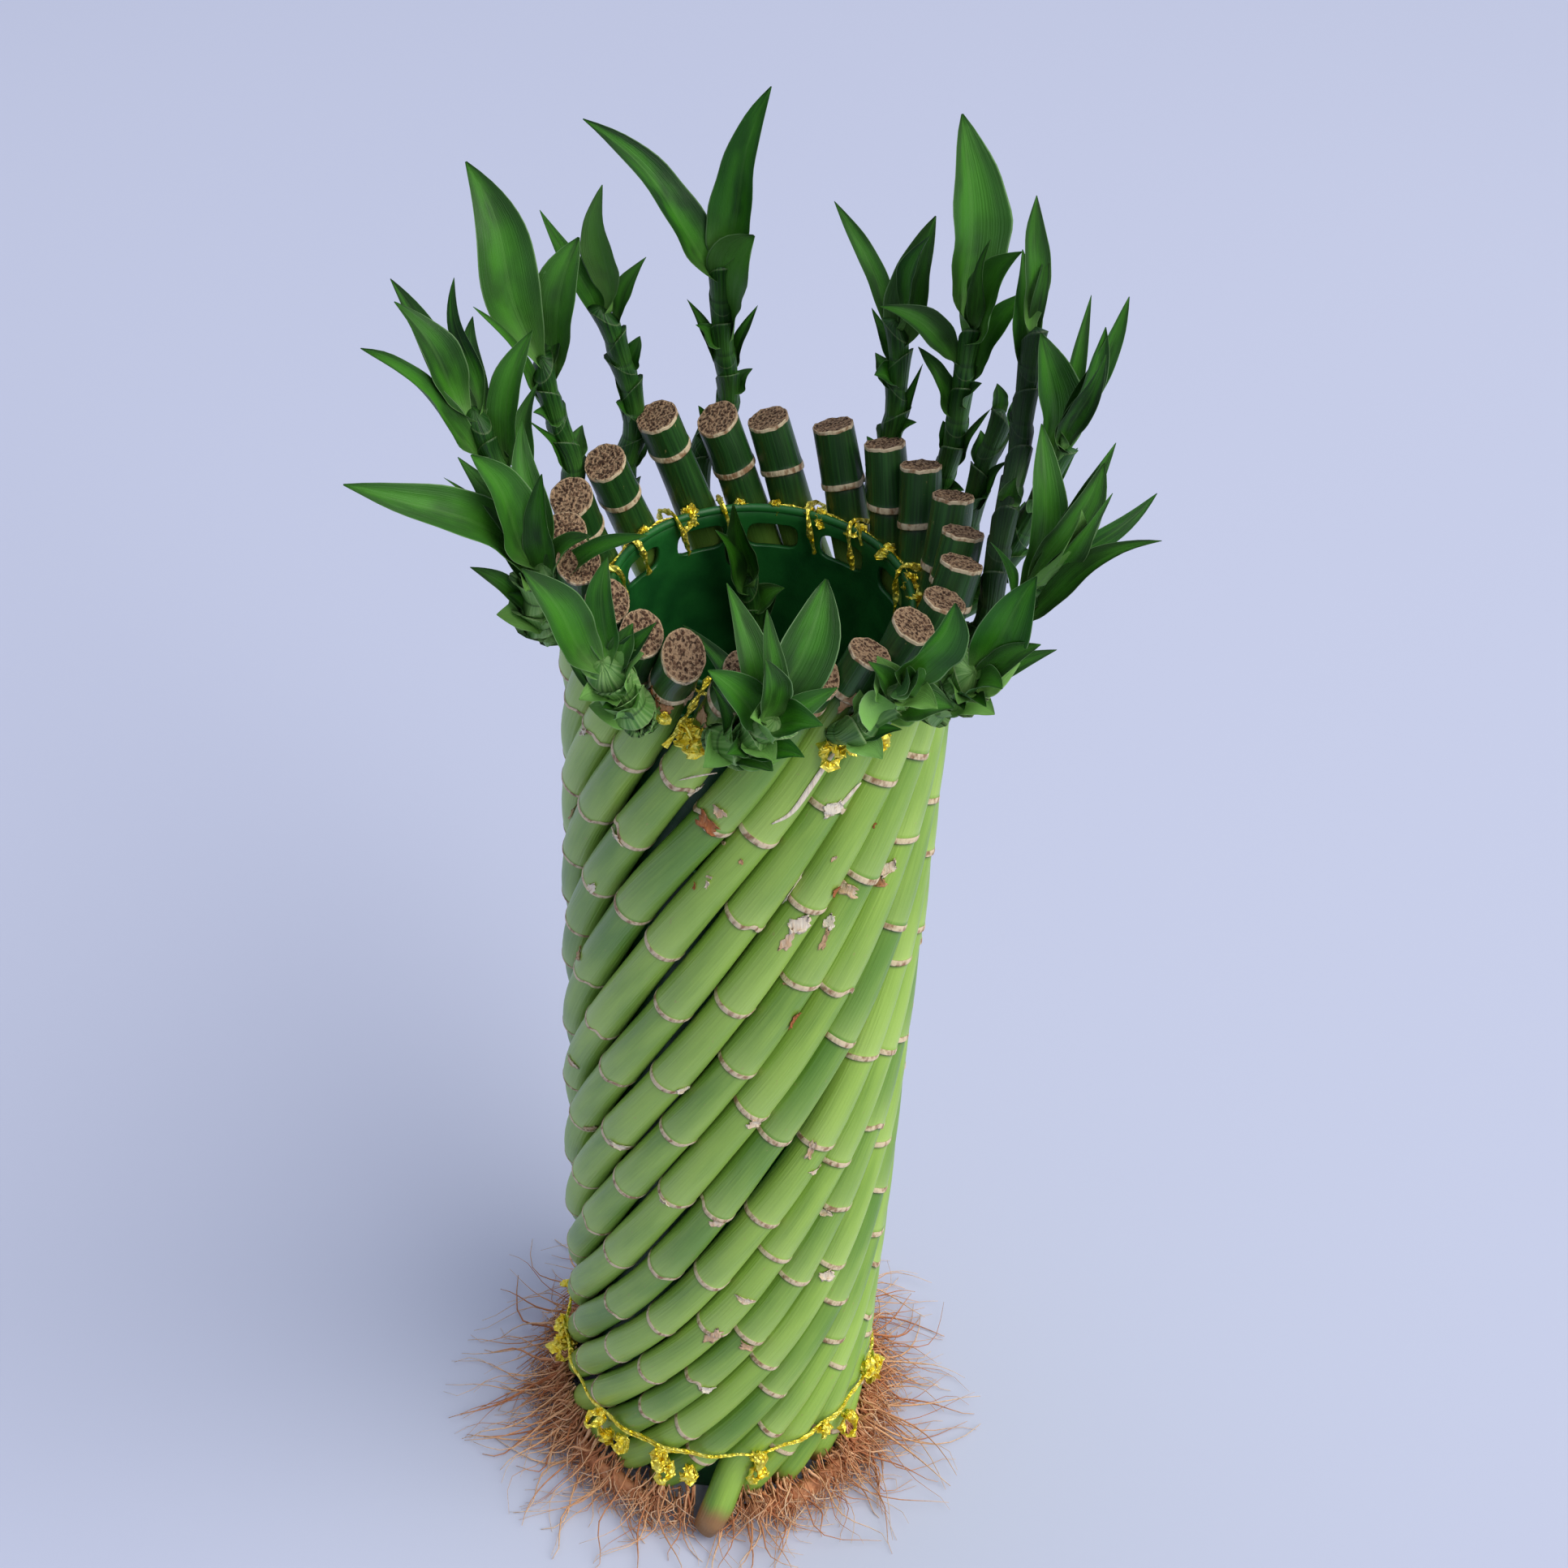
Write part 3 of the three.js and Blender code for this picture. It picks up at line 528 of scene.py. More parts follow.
print("paint methods:", [name for name in vars(Paint) if name[0] != "_"])

# %% [markdown]
# ## The skin of the stalks
# A stalk's skin is waxy and smooth, with fine lines along it. Each internode is painted
# brighter just above its node, a painted highlight where the swelling catches the light.
# The node is a thin tan ring that stands proud, with a painted shadow under it. Above the
# plastic the skin is a much darker green. A picture wrapped round each stalk would repeat
# its stains on all of them. Noise doesn't, and it reads a point value that was laid round
# each stalk, so it follows the stalk as it winds.

# %% The skin
paint = Paint("stalk_skin", {"Coat Weight": 0.18, "Coat Roughness": 0.28, "Specular IOR Level": 0.45})
mottle = paint.grain(0.1, 0.022)
lines = paint.grain(1.5, 0.03, 4.0)
speckle = paint.grain(0.55, 0.35, 5.0)
tone = mottle * 0.7 + paint.value("tone") * 0.22 + lines * 0.16
green = paint.between(tone, 0.3, 0.75, (90, 136, 38), (154, 190, 74))
dark = paint.between(lines + mottle * 0.6, 0.6, 1.15, (22, 58, 20), (46, 96, 36))
tan = paint.between(speckle, 0.34, 0.56, (150, 114, 80), (218, 198, 162))
ring = paint.step(paint.value("ring") * (0.7 + speckle * 0.7), 0.3, 0.7)
rind = paint.step(paint.value("rind") + speckle * 0.4, 0.6, 0.85)
earth = paint.step(paint.value("earth") + mottle * 0.4, 0.55, 1.0)
skin_color = paint.layers(
    green,
    # Painted highlight just above each node, where the swelling internode catches the light.
    (paint.value("fresh") * 0.6, (184, 212, 116)),
    (paint.value("bare"), dark),
    (paint.step(speckle, 0.69, 0.74) * 0.4, (168, 150, 96)),
    # Painted shadow under each node's ring, which overhangs the stalk below it.
    (paint.value("under") * 0.8, (36, 52, 20)),
    (ring, tan),
    (rind, tan),
    (earth, (150, 110, 66)),
)
rough = 0.36 + mottle * 0.12 + ring * 0.35 + rind * 0.35
STALK_SKIN = paint.finish(skin_color, rough, lines * 0.4 + speckle * ring, 0.0006)

# %% [markdown]
# ## The sawn ends
# The saw leaves a pale band of rind round a brown, fibrous middle with pale flecks and
# dark holes. Cells in the plane of the cut give the flecks their size, about a
# millimetre.

# %% The sawn pith
paint = Paint("sawn_pith", {"Specular IOR Level": 0.2})
fibre = paint.cells(paint.vector("grain", (1.0, 1.0, 0.2)), 1.15)
fine = paint.grain(1.3, 0.39, 5.0)
broad = paint.grain(0.3, 0.3)
pith = paint.layers(
    paint.between(broad, 0.4, 0.62, (84, 60, 44), (118, 90, 68)),
    (paint.step(fibre, 0.36, 0.56) * 0.75, (184, 152, 118)),
    (paint.step(fine, 0.53, 0.6) * 0.85, (48, 32, 24)),
    (paint.step(paint.value("rim") + fine * 0.1, 0.97, 1.02), (196, 166, 130)),
)
SAWN_PITH = paint.finish(pith, 0.85 + broad * 0.1, fine - fibre * 0.8, 0.0012)

# %% [markdown]
# ## The stalks
# Each internode starts with its ring, is widest just above it, and narrows on the way up,
# so the next ring overhangs it. The rows of the grid are packed close round every ring
# and wide apart between them. A node isn't quite square to its stalk: its rows are
# shifted along it by a slow wave, and here and there one side of the ring runs up into
# a short tail.

# %% Rows along a stalk
SIDES = 30
ROUND = ring_angles(SIDES)
NEAR_NODE = [-2.6, -1.3, -0.7, -0.3, -0.08, 0.08, 0.35, 0.8, 1.2, 1.5, 1.7, 2.0, 3, 5]
BELOW_END = np.array([0.0, 0.4, 0.9, 1.3, 1.7, 2.1, 2.8])
PLAIN_STEP = 5
CLEAR_OF_NODE = 6


def stalk_rows(length, nodes):
    """Distances along a stalk: close to the nodes and the end, and every 5 mm between."""
    near = (nodes[:, None] + NEAR_NODE).ravel()
    plain = np.arange(0, length - 3, PLAIN_STEP)
    far = plain[np.abs(plain[:, None] - nodes).min(1) > CLEAR_OF_NODE]
    rows = np.concatenate([near, far, [0], length - BELOW_END])
    return np.unique(np.clip(rows, 0, length).round(3))


def node_shift(stalk, distances, nodes):
    """How far points near a node move along the stalk: two slow waves, and a tail on some."""
    nearest = np.abs(distances[:, None] - nodes).argmin(1)
    seed = stalk * 17 + nearest[:, None]
    wave = 0.55 * np.sin(ROUND + ANY_PHASE * chance(seed, 1))
    wave = wave + 0.22 * np.sin(2 * ROUND + ANY_PHASE * chance(seed, 2))
    from_tail = np.angle(np.exp(1j * (ROUND - 2.6 * (chance(seed, 3) - 0.5))))
    tail = np.where(chance(seed, 4) > 0.55, 3.2 * chance(seed, 5), 0) * bump(from_tail, 0.3)
    return (wave + tail) * bump(distances - nodes[nearest], 6.5)[:, None]


print("rows on stalk 1:", len(stalk_rows(*node_places(0)[1:])))

# %% One stalk
# A stalk's own place in the pattern is this far from the next one's.
GRAIN_APART = 37
# Heights between which earth fades from the skin, it turns dark, and the stalk thins.
EARTHY = (5, 22)
DARKENS = (348, 370)
THINS = (355, 380)


def stalk_shell(stalk):
    """Rings along the stalk's axis, and the values that its skin reads.

    With t the share of the internode, the radius is belly - (belly - waist) * smooth(t),
    plus a flat-topped ring at the node, less a notch just under it.
    """
    foot, length, nodes = node_places(stalk)
    distances = stalk_rows(length, nodes)
    index = np.searchsorted(nodes, distances + 1e-6)
    edges = np.concatenate([[-20], nodes, [length + 25]])
    above = distances - edges[index]
    left = edges[index + 1] - distances
    lowest = index == 0
    radius = STALK["belly"] - (STALK["belly"] - STALK["waist"]) * smooth(above / (above + left), 0.05, 0.9)
    ring = np.where(lowest, 0, bump(above - 0.95, 1, 4))
    # Just under each node: a notch in the radius, and the painted shadow that the ring above casts there.
    under = np.where(left < 4, bump(left, 0.7), 0)
    radius = radius + (STALK["ring"] - STALK["belly"]) * ring - STALK["notch"] * under
    height = height_along(foot, distances)
    crowded = np.minimum(1, np.cos(lean_at(height)) / np.cos(np.radians(STALK["wide_lean"])))
    crowded = crowded + (STALK["cut"] / STALK["belly"] - 1) * smooth(height, *THINS) * 0.6
    radius = (radius * crowded * (0.75 + 0.25 * smooth(distances, 0, 7)))[:, None]

    centre, along, out, across = stalk_frame(stalk, height)
    lumps = 1 + 0.012 * np.sin(2 * ROUND + stalk) + 0.01 * np.sin(3 * ROUND + 0.05 * distances[:, None])
    rows = ring_round(centre, out, across, radius * lumps, ROUND)
    rows = rows + node_shift(stalk, distances, nodes)[..., None] * along[:, None]
    saw = np.tan(np.radians(STALKS[stalk, 5]))
    near_end = smooth(distances, length - 9, length)[:, None]
    rows[..., 2] += (rows[..., 1] - centre[:, None, 1]) * saw * near_end
    ragged = 0.16 * np.sin(7 * ROUND + stalk) + 0.1 * np.sin(13 * ROUND + 2 * stalk)
    rows = rows + (ragged * near_end**8)[..., None] * along[:, None]

    columns = {
        "ring": ring,
        "under": under,
        # Painted highlight: brightest just above each node, fading up the internode.
        "fresh": np.where(lowest, 0, np.exp(-above / 12) * (above > 2)),
        "rind": bump(length - distances, 1.1, 4),
        "earth": 1 - smooth(height, *EARTHY),
        "tone": np.full(len(distances), chance(stalk, 7)),
    }
    values = {name: around(column, SIDES) for name, column in columns.items()}
    values["bare"] = smooth(height[:, None] - 6 * np.cos(ROUND), *DARKENS)
    x = radius * np.cos(ROUND) + GRAIN_APART * stalk
    values["grain"] = stacked(x, radius * np.sin(ROUND), distances[:, None])
    return rows, values


def recessed(rows, values):
    """The skin with one more ring inside its end, 1.5 mm down, so the sawn face closes it."""
    middle = rows[-1].mean(0)
    inner = middle + 0.93 * (rows[-1] - middle) - [0, 0, 1.5]
    deeper = {key: np.concatenate([value, value[-1:]]) for key, value in values.items()}
    return closed_tube(np.concatenate([rows, inner[None]]), **deeper)


print("rings of stalk 1:", stalk_shell(0)[0].shape)

# %% A sawn end
SAWN = [0.96, 0.88, 0.72, 0.5, 0.25, 0.08]
ROUGH_CUT = 0.35


def sawn_end(stalk, last):
    """A shell that caps a stalk's open end.

    A short lip runs up inside the skin. The face is the skin's last ring drawn in towards
    its middle, sunk a little, with each point raised or lowered by chance.
    """
    middle = last.mean(0)
    shares = np.array(SAWN)[:, None]
    face = middle + shares[..., None] * (last - middle)
    face[..., 2] += ROUGH_CUT * (chance(stalk + ROUND * 9, shares * 50) - 0.5) - ROUGH_CUT * (1 - shares)
    low = middle - [0, 0, 0.8]
    lip = low + 0.9 * (last - middle)
    reach = np.array([5.5, 5.5, *(5.4 * share for share in SAWN)])[:, None]
    flat = stacked(reach * np.cos(ROUND) + GRAIN_APART * stalk, reach * np.sin(ROUND), 0)
    return closed_tube(np.concatenate([[lip, last], face]), grain=flat, rim=around([1, 1, *SAWN], SIDES))


print("rings of a sawn end:", len(SAWN) + 2)

# %% All the stalks
skin_faces = 0
skin_tables = []
for stalk in range(COUNT):
    rows, values = stalk_shell(stalk)
    radii = np.linalg.norm(rows - rows.mean(1, keepdims=True), axis=2).mean(1)
    skin_tables.append((values["grain"][:, 0, 2], radii))
    number = f"{stalk + 1:02d}"
    skin = put_in("skin_" + number, [recessed(rows, values)], STALK_SKIN, "stalk", "stalk_" + number)
    put_in("sawn_end_" + number, [sawn_end(stalk, rows[-1])], SAWN_PITH, "stalk", "stalk_" + number)
    skin_faces += len(skin.data.polygons)
print("stalks:", COUNT, "with", skin_faces, "faces of skin")

# %% [markdown]
# ## The leaves' finish
# A leaf is glossy and dark above, greyer and lighter below, with fine veins that run from
# base to tip, a soft light stripe down its middle and a thin pale margin. Its foot is a
# fresh light green. The veins are noise that is stretched along the blade.

# %% Leaf and sheath
paint = Paint("leaf_blade", {"Coat Weight": 0.06, "Coat Roughness": 0.22, "Specular IOR Level": 0.24})
veins = paint.noise(paint.vector("blade", (16.0, 0.02, 1.0)), 1.6, 3.0)
cloud = paint.noise(paint.vector("blade", (0.9, 0.06, 1.0)), 1.0, 2.0)
across = paint.value("across")
off_middle = across * across
tone = veins * 0.3 + cloud * 0.9 + paint.value("tone") * 0.5
# A lighter green down the blade's middle: partly the leaf's own colour, partly a painted highlight.
light_middle_and_highlight = (1 - paint.step(off_middle, 0.02, 0.6)) * paint.step(cloud, 0.32, 0.6)
blade = paint.layers(
    paint.between(tone, 0.45, 1.3, (12, 48, 11), (34, 94, 18)),
    (light_middle_and_highlight * 0.7, (60, 132, 20)),
    ((1 - paint.step(off_middle, 0.0, 0.01)) * 0.22, (84, 136, 56)),
    (paint.value("under"), paint.between(veins, 0.35, 0.65, (40, 84, 34), (60, 108, 48))),
    (paint.value("young") * 0.75, (122, 176, 84)),
    (paint.step(off_middle, 0.9, 0.96) * 0.6, (128, 164, 110)),
)
LEAF_BLADE = paint.finish(blade, 0.4 + veins * 0.1 + paint.value("under") * 0.16, veins, 0.00025)

paint = Paint("leaf_sheath", {"Coat Weight": 0.1, "Coat Roughness": 0.3, "Specular IOR Level": 0.3})
streak = paint.grain(1.4, 0.08)
pale = paint.value("pale")
up_sheath = paint.value("sheath")
sheath = paint.layers(
    paint.between(streak, 0.3, 0.7, (18, 56, 16), (42, 92, 28)),
    (pale, paint.between(streak, 0.3, 0.7, (92, 146, 66), (146, 188, 110))),
    ((1 - paint.step(up_sheath, 0.1, 0.8)) * 0.25, (80, 136, 44)),
    (paint.step(up_sheath, 0.9, 0.96) * (0.2 + pale * 0.5), (160, 178, 124)),
    ((1 - paint.step(up_sheath, 0.0, 0.14)) * 0.6, (20, 52, 18)),
    # Painted shade on the two darker stems.
    (paint.value("dusk"), (12, 34, 12)),
)
LEAF_SHEATH = paint.finish(sheath, 0.42 + streak * 0.12, streak, 0.0006)

# %% [markdown]
# ## The shoots
# A shoot comes out of the side of a stalk just under the saw cut. Its stem is a stack of
# sheaths, each with a slanting edge that stands off the next one, on alternate sides.
# Leaves fan out from it. The solids give each leaf's tip, width and place on the stem.
# One leaf could be copied and turned, but each real one has a length, bend and width of
# its own, so one function makes them all from those. The curves are those of the solids,
# with a cupped blade that clasps the stem at its foot, waved edges, and more of the small
# leaves that the solids left out.

# %% Every shoot's stem and leaves
# Stalk, height of the foot, then the stem's points as azimuth, radius and height, then
# its leaves: place on the stem, azimuth, radius and height of the tip, width, and for
# some the power that moves the widest place towards the tip, and how light the leaf is.
SHOOTS = {
    "shoot_back_left": (13, 355, [(199, 61, 368), (192, 61, 385), (194, 61, 406), (195, 63, 426)], [
        (0.94, 220, 84, 467, 12, 0.85), (1, 184, 70.5, 476.5, 12.5, 0.85),
        (0.7, 187.5, 55, 441.5, 16, 3, 0.25), (0.62, 202.5, 65.5, 417.5, 4, 0.85),
        (0.6, 185, 64, 415, 4, 0.85),
    ]),
    "shoot_left_back": (14, 354, [(223, 59, 368), (219, 60, 386), (221, 62, 402), (225, 65, 420)], [
        (1, 224.5, 67, 457.5, 9, 1.2, 0.45), (0.84, 231.5, 81.5, 447.5, 6), (0.92, 215.5, 61, 436, 5),
        (0.5, 223, 66, 405.5, 4.5, 0.85),
    ]),
    "shoot_left_rear": (15, 354, [(245, 59, 367), (241, 61, 382), (242, 66, 397), (243, 69, 412)], [
        (1, 240, 95, 462, 14.5), (0.88, 231, 67.5, 445, 12.5, 1.6, 0.12), (0.8, 253, 82, 433.5, 4),
        (0.94, 234, 68.5, 425, 4), (0.45, 249, 69.5, 399, 4.5, 0.85),
    ]),
    "shoot_left_upper": (16, 354, [(266, 59, 366), (263, 66, 384), (263, 73, 397), (262, 77, 408)], [
        (0.86, 251.5, 106.5, 434.5, 7), (0.98, 262.5, 97.5, 440.5, 10.5),
        (0.78, 272, 103, 436.5, 8.5), (1, 254, 86, 442, 5), (0.7, 249.5, 67, 428, 9.5),
        (0.56, 249, 66, 412, 6.5), (0.94, 246, 87.5, 423.5, 5.5),
    ]),
    "shoot_left_lower": (17, 354, [(285, 58, 360), (288, 60, 367), (289, 61, 375), (289, 61, 383)], [
        (0.88, 289, 109.5, 418, 12.5), (0.97, 280.5, 79.5, 413.5, 8), (1, 286.5, 77, 419.5, 13),
        (0.82, 290.5, 60, 414.5, 9), (0.9, 269, 63.5, 415, 8), (0.55, 287.5, 78.5, 386, 5.5),
        (0.7, 317, 42, 404.5, 6.5), (0.5, 290, 70, 378.5, 5), (0.86, 302.5, 51.5, 401, 7.5, 1.5),
        (0.8, 283, 83.5, 410, 4, 0.85),
    ]),
    "shoot_front_left": (20, 356, [(330, 59, 364), (327, 62, 371), (325, 65, 379)], [
        (0.96, 315, 81.5, 412.5, 11.5), (1, 318, 57, 406, 8), (0.84, 334, 57.5, 394, 5),
        (0.66, 320, 68, 376.5, 5.5), (0.78, 328.5, 59.5, 392.5, 6.5, 1.6),
        (0.5, 328, 71.5, 373, 6.5, 1), (0.42, 313, 65.5, 375, 6.5),
    ]),
    "shoot_front": (0, 357, [(352, 59, 362), (358, 62, 366), (3, 64, 374)], [
        (0.6, 22, 42, 401, 14, 1.8), (0.8, 347.5, 41.5, 399, 8, 1.2), (0.86, 349.5, 66.5, 391, 10.5),
        (1, 1.5, 66, 396, 9.5, 1), (0.78, 19.5, 60.5, 381, 6.5), (0.95, 13, 74.5, 381.5, 9.5),
        (0.6, 355, 73.5, 371, 6.5, 1), (0.94, 1.5, 55.5, 403, 6, 1.4), (0.5, 349, 57.5, 379, 3.5, 0.85),
        (0.75, 329, 38.5, 379, 5.5, 1), (0.62, 10.5, 71, 368.5, 7.5), (0.5, 4.5, 69, 362.5, 6.5, 1.6),
    ]),
    "shoot_front_right": (2, 357, [(24, 59, 364), (30, 61, 369), (35, 63, 376)], [
        (1, 43, 69, 404.5, 14.5), (0.88, 27, 59.5, 386.5, 5.5), (0.8, 42.5, 73.5, 374, 10),
        (0.95, 35, 68.5, 387.5, 8.5), (0.9, 33, 67, 388, 7, 1.5), (0.45, 32.5, 69, 369.5, 4, 1),
        (0.4, 26.5, 65, 369, 5, 1),
    ]),
    "shoot_right_front": (4, 354, [(49, 59, 361), (50, 65, 368), (49, 71, 378)], [
        (1, 55, 81, 411, 12.5), (0.9, 52.5, 87, 395, 7), (0.76, 59.5, 86.5, 386.5, 5),
        (0.66, 44, 82, 379, 7), (0.6, 45, 74, 372, 4, 1), (0.85, 46, 84, 384.5, 8.5, 1.4),
    ]),
    "shoot_right": (5, 354, [(65, 60, 365), (68, 66, 377), (70, 72, 387)], [
        (0.94, 86, 67.5, 427.5, 10), (0.9, 81, 86.5, 429, 7.5), (0.82, 88.5, 100, 407, 5, 1.5),
        (1, 67.6, 83, 420.7, 10, 1.2, 0.9), (0.97, 71, 89, 424.5, 7), (0.72, 70, 103.5, 415.5, 7.5),
        (0.85, 62, 63, 408, 3.5, 0.85), (0.98, 78.5, 84.5, 425, 10.5, 1.5),
    ]),
    "shoot_right_tall": (6, 354, [
        (80, 60, 366), (84, 61, 382), (90, 62, 394), (98, 65, 406), (104, 67, 420), (106, 68, 438),
    ], [
        (1, 113, 67.5, 473.5, 7), (0.86, 116, 67.5, 456.5, 7), (0.95, 110, 70.5, 461.5, 3.5),
    ]),
    "shoot_right_upper": (7, 354, [(95, 60, 366), (94, 66, 382), (94, 71, 397), (95, 75, 411)], [
        (0.9, 100, 67, 443.5, 14.5), (0.95, 90, 81.5, 445.5, 6), (1, 96.5, 87, 456.5, 6.5),
        (0.84, 107.5, 83, 447.5, 4.5), (0.75, 101, 82, 407, 4, 0.85), (0.97, 94.5, 81.5, 449.5, 8),
    ]),
    "shoot_right_stub": (8, 354, [(114, 59, 368), (113, 61, 386), (113, 64, 400), (113, 66, 408)], [
        (1, 116.5, 65.5, 416.5, 5, 1), (0.7, 118, 74, 406, 5, 1), (0.5, 106, 66, 400, 4.5, 0.85),
    ]),
    "shoot_back_right": (9, 355, [(130, 59, 370), (126, 61, 390), (128, 64, 406), (130, 67, 422)], [
        (1, 141.5, 70, 480, 18.5), (0.86, 150, 53, 427.5, 8.5), (0.94, 122, 73, 450.5, 13.5),
        (0.97, 126, 66, 453.5, 4.5), (0.8, 123.5, 78, 436.5, 8.5), (0.66, 139, 57.5, 417.5, 7, 0.85),
        (0.45, 119, 66.5, 406.5, 3.5, 0.85),
    ]),
    "shoot_back": (10, 354, [(148, 59, 368), (146, 60, 388), (147, 62, 404), (149, 63, 416)], [
        (0.95, 170, 76, 442, 6, 1), (0.9, 148, 76.5, 445, 12, 0.9), (1, 142.5, 63.5, 447, 7),
        (0.76, 150, 54, 405.5, 7.5), (0.8, 157.5, 66, 418, 4, 1), (0.45, 141.5, 64.5, 408, 3.5, 0.85),
    ]),
    "shoot_inner": (12, 303, [(168, 36, 303), (173, 32.5, 315), (182, 32.5, 329), (187, 33, 342)], [
        (1, 196, 34, 371, 8.5, 1), (0.94, 206, 32, 364, 7.5, 1), (0.84, 168, 31, 344, 7.5, 1),
    ]),
}
print("shoots:", len(SHOOTS), "leaves:", sum(len(shoot[3]) for shoot in SHOOTS.values()))


# %% A smooth path through points
def smooth_path(points, samples=240):
    """Through the points by cubics whose slopes are half the step between neighbours.

    Returns a function from the share of its length to the point and the way there, and
    its length.
    """
    points = np.asarray(points, float)
    padded = np.concatenate([[2 * points[0] - points[1]], points, [2 * points[-1] - points[-2]]])
    at = np.linspace(0, len(points) - 1, samples)
    part = np.minimum(at.astype(int), len(points) - 2)
    t = (at - part)[:, None]
    before, start, end, after = (padded[part + shift] for shift in range(4))
    leave, arrive = (end - before) / 2, (after - start) / 2
    curve = (
        (2 * t**3 - 3 * t**2 + 1) * start + (t**3 - 2 * t**2 + t) * leave
        + (3 * t**2 - 2 * t**3) * end + (t**3 - t**2) * arrive
    )
    reached = summed(np.linalg.norm(np.diff(curve, axis=0), axis=1))
    ways = unit(np.gradient(curve, axis=0))

    def at_share(share):
        length = np.atleast_1d(share) * reached[-1]
        point, way = (
            np.stack([np.interp(length, reached, table[:, axis]) for axis in range(3)], -1)
            for table in (curve, ways)
        )
        return point, unit(way)

    return at_share, float(reached[-1])


_, corner_length = smooth_path([(0, 0, 0), (3, 0, 0), (3, 4, 0)])
print("a path round a corner of 3 and 4 is", round(corner_length, 2), "long")


# %% A stem of sheaths
SHEATH = {"length": 8, "waist": 3.1, "flare": 0.6, "tab": 1.6, "slant": 3.4, "sides": 18}
# The front shoots start as stout nests of short sheaths: how stout each one is.
STOUT = {
    "shoot_left_lower": 1.45, "shoot_front_left": 1.5, "shoot_front": 1.4, "shoot_front_right": 1.2,
    "shoot_right_front": 1.35,
}
# Two of the stems are much darker than the rest: painted shade.
PAINTED_STEM_SHADE = {"shoot_right_tall": 0.65, "shoot_right_stub": 0.35}
SHEATH_ROWS = np.array([0.0, 0.12, 0.4, 0.7, 0.88, 0.96])
# The sheaths' pattern is wrapped round the stem at this radius.
WRAPPED = 3.6


def stem_shell(path, length, seed, stout, dusk):
    """Rings whose radius grows in each sheath, then drops back to the waist.

    A sheath grows by flare all round, and by a tab on the side where its rim slants up,
    by slant * cos(angle). The side turns half round each time. A stout stem has shorter
    sheaths that stand off more.
    """
    sheaths = max(3, round(length * stout**2 / SHEATH["length"]))
    turns = ring_angles(SHEATH["sides"])
    number = np.repeat(np.arange(sheaths), len(SHEATH_ROWS))[:, None]
    part = np.tile(SHEATH_ROWS, sheaths)[:, None]
    share = (number + part) / sheaths
    lifted = np.cos(turns - (np.pi * number + 0.8 * seed))
    tab = SHEATH["tab"] * stout * part**3 * np.maximum(lifted, 0) ** 3
    grow = SHEATH["waist"] + SHEATH["flare"] * stout**2 * part**0.8 + tab
    thicker = 1 + (stout - 1) * smooth(share, 0.1, 0.65)
    slim = 1 - 0.25 * (stout > 1) * (1 - smooth(share, 0.2, 0.5))
    radius = grow * thicker * slim * (1.04 - 0.2 * share) * (1 + 0.03 * np.sin(2 * turns + seed))
    centre, way = path(share[:, 0])
    out, across = frame_on(way, centre * IN_PLAN + [0, 0, 1])
    rows = ring_round(centre, out, across, radius, turns)
    rows = rows + (SHEATH["slant"] * part * lifted)[..., None] * way[:, None]
    end = rows[-1].mean(0) + way[-1] * 3
    rows = np.concatenate([rows, (rows[-1:] + 2 * end) / 3, rows[-1:] * 0.1 + end * 0.9])

    reached = np.append(share, [1, 1])[:, None] * length
    grain = stacked(WRAPPED * np.cos(turns) + 11 * seed, WRAPPED * np.sin(turns), reached)
    even = np.ones(grain.shape[:2])
    up_sheath = around(np.append(part, [0.5, 0.5]), SHEATH["sides"])
    return closed_tube(rows, grain=grain, sheath=up_sheath, pale=(stout - 1) * 2.1 * even, dusk=dusk * even)


print("stout stems:", len(STOUT), "darker stems:", len(PAINTED_STEM_SHADE))

# %% A leaf
LEAF = {
    "rows": 24, "broad": 1.24, "offset": 2, "rise": 0.3, "cup": 0.45, "base_cup": 0.3,
    "clasp": 3.1, "thick": 0.24,
}
LEAF_LIGHT = np.array([0, -0.74, 0.67])
LEAF_TURNED = 2.2
BLADE = np.array([-1, -0.93, -0.68, -0.36, -0.12, 0.12, 0.36, 0.68, 0.93, 1])
COLUMNS = np.concatenate([BLADE, BLADE[::-1]])
UNDERSIDE = np.repeat([0, 1], len(BLADE))


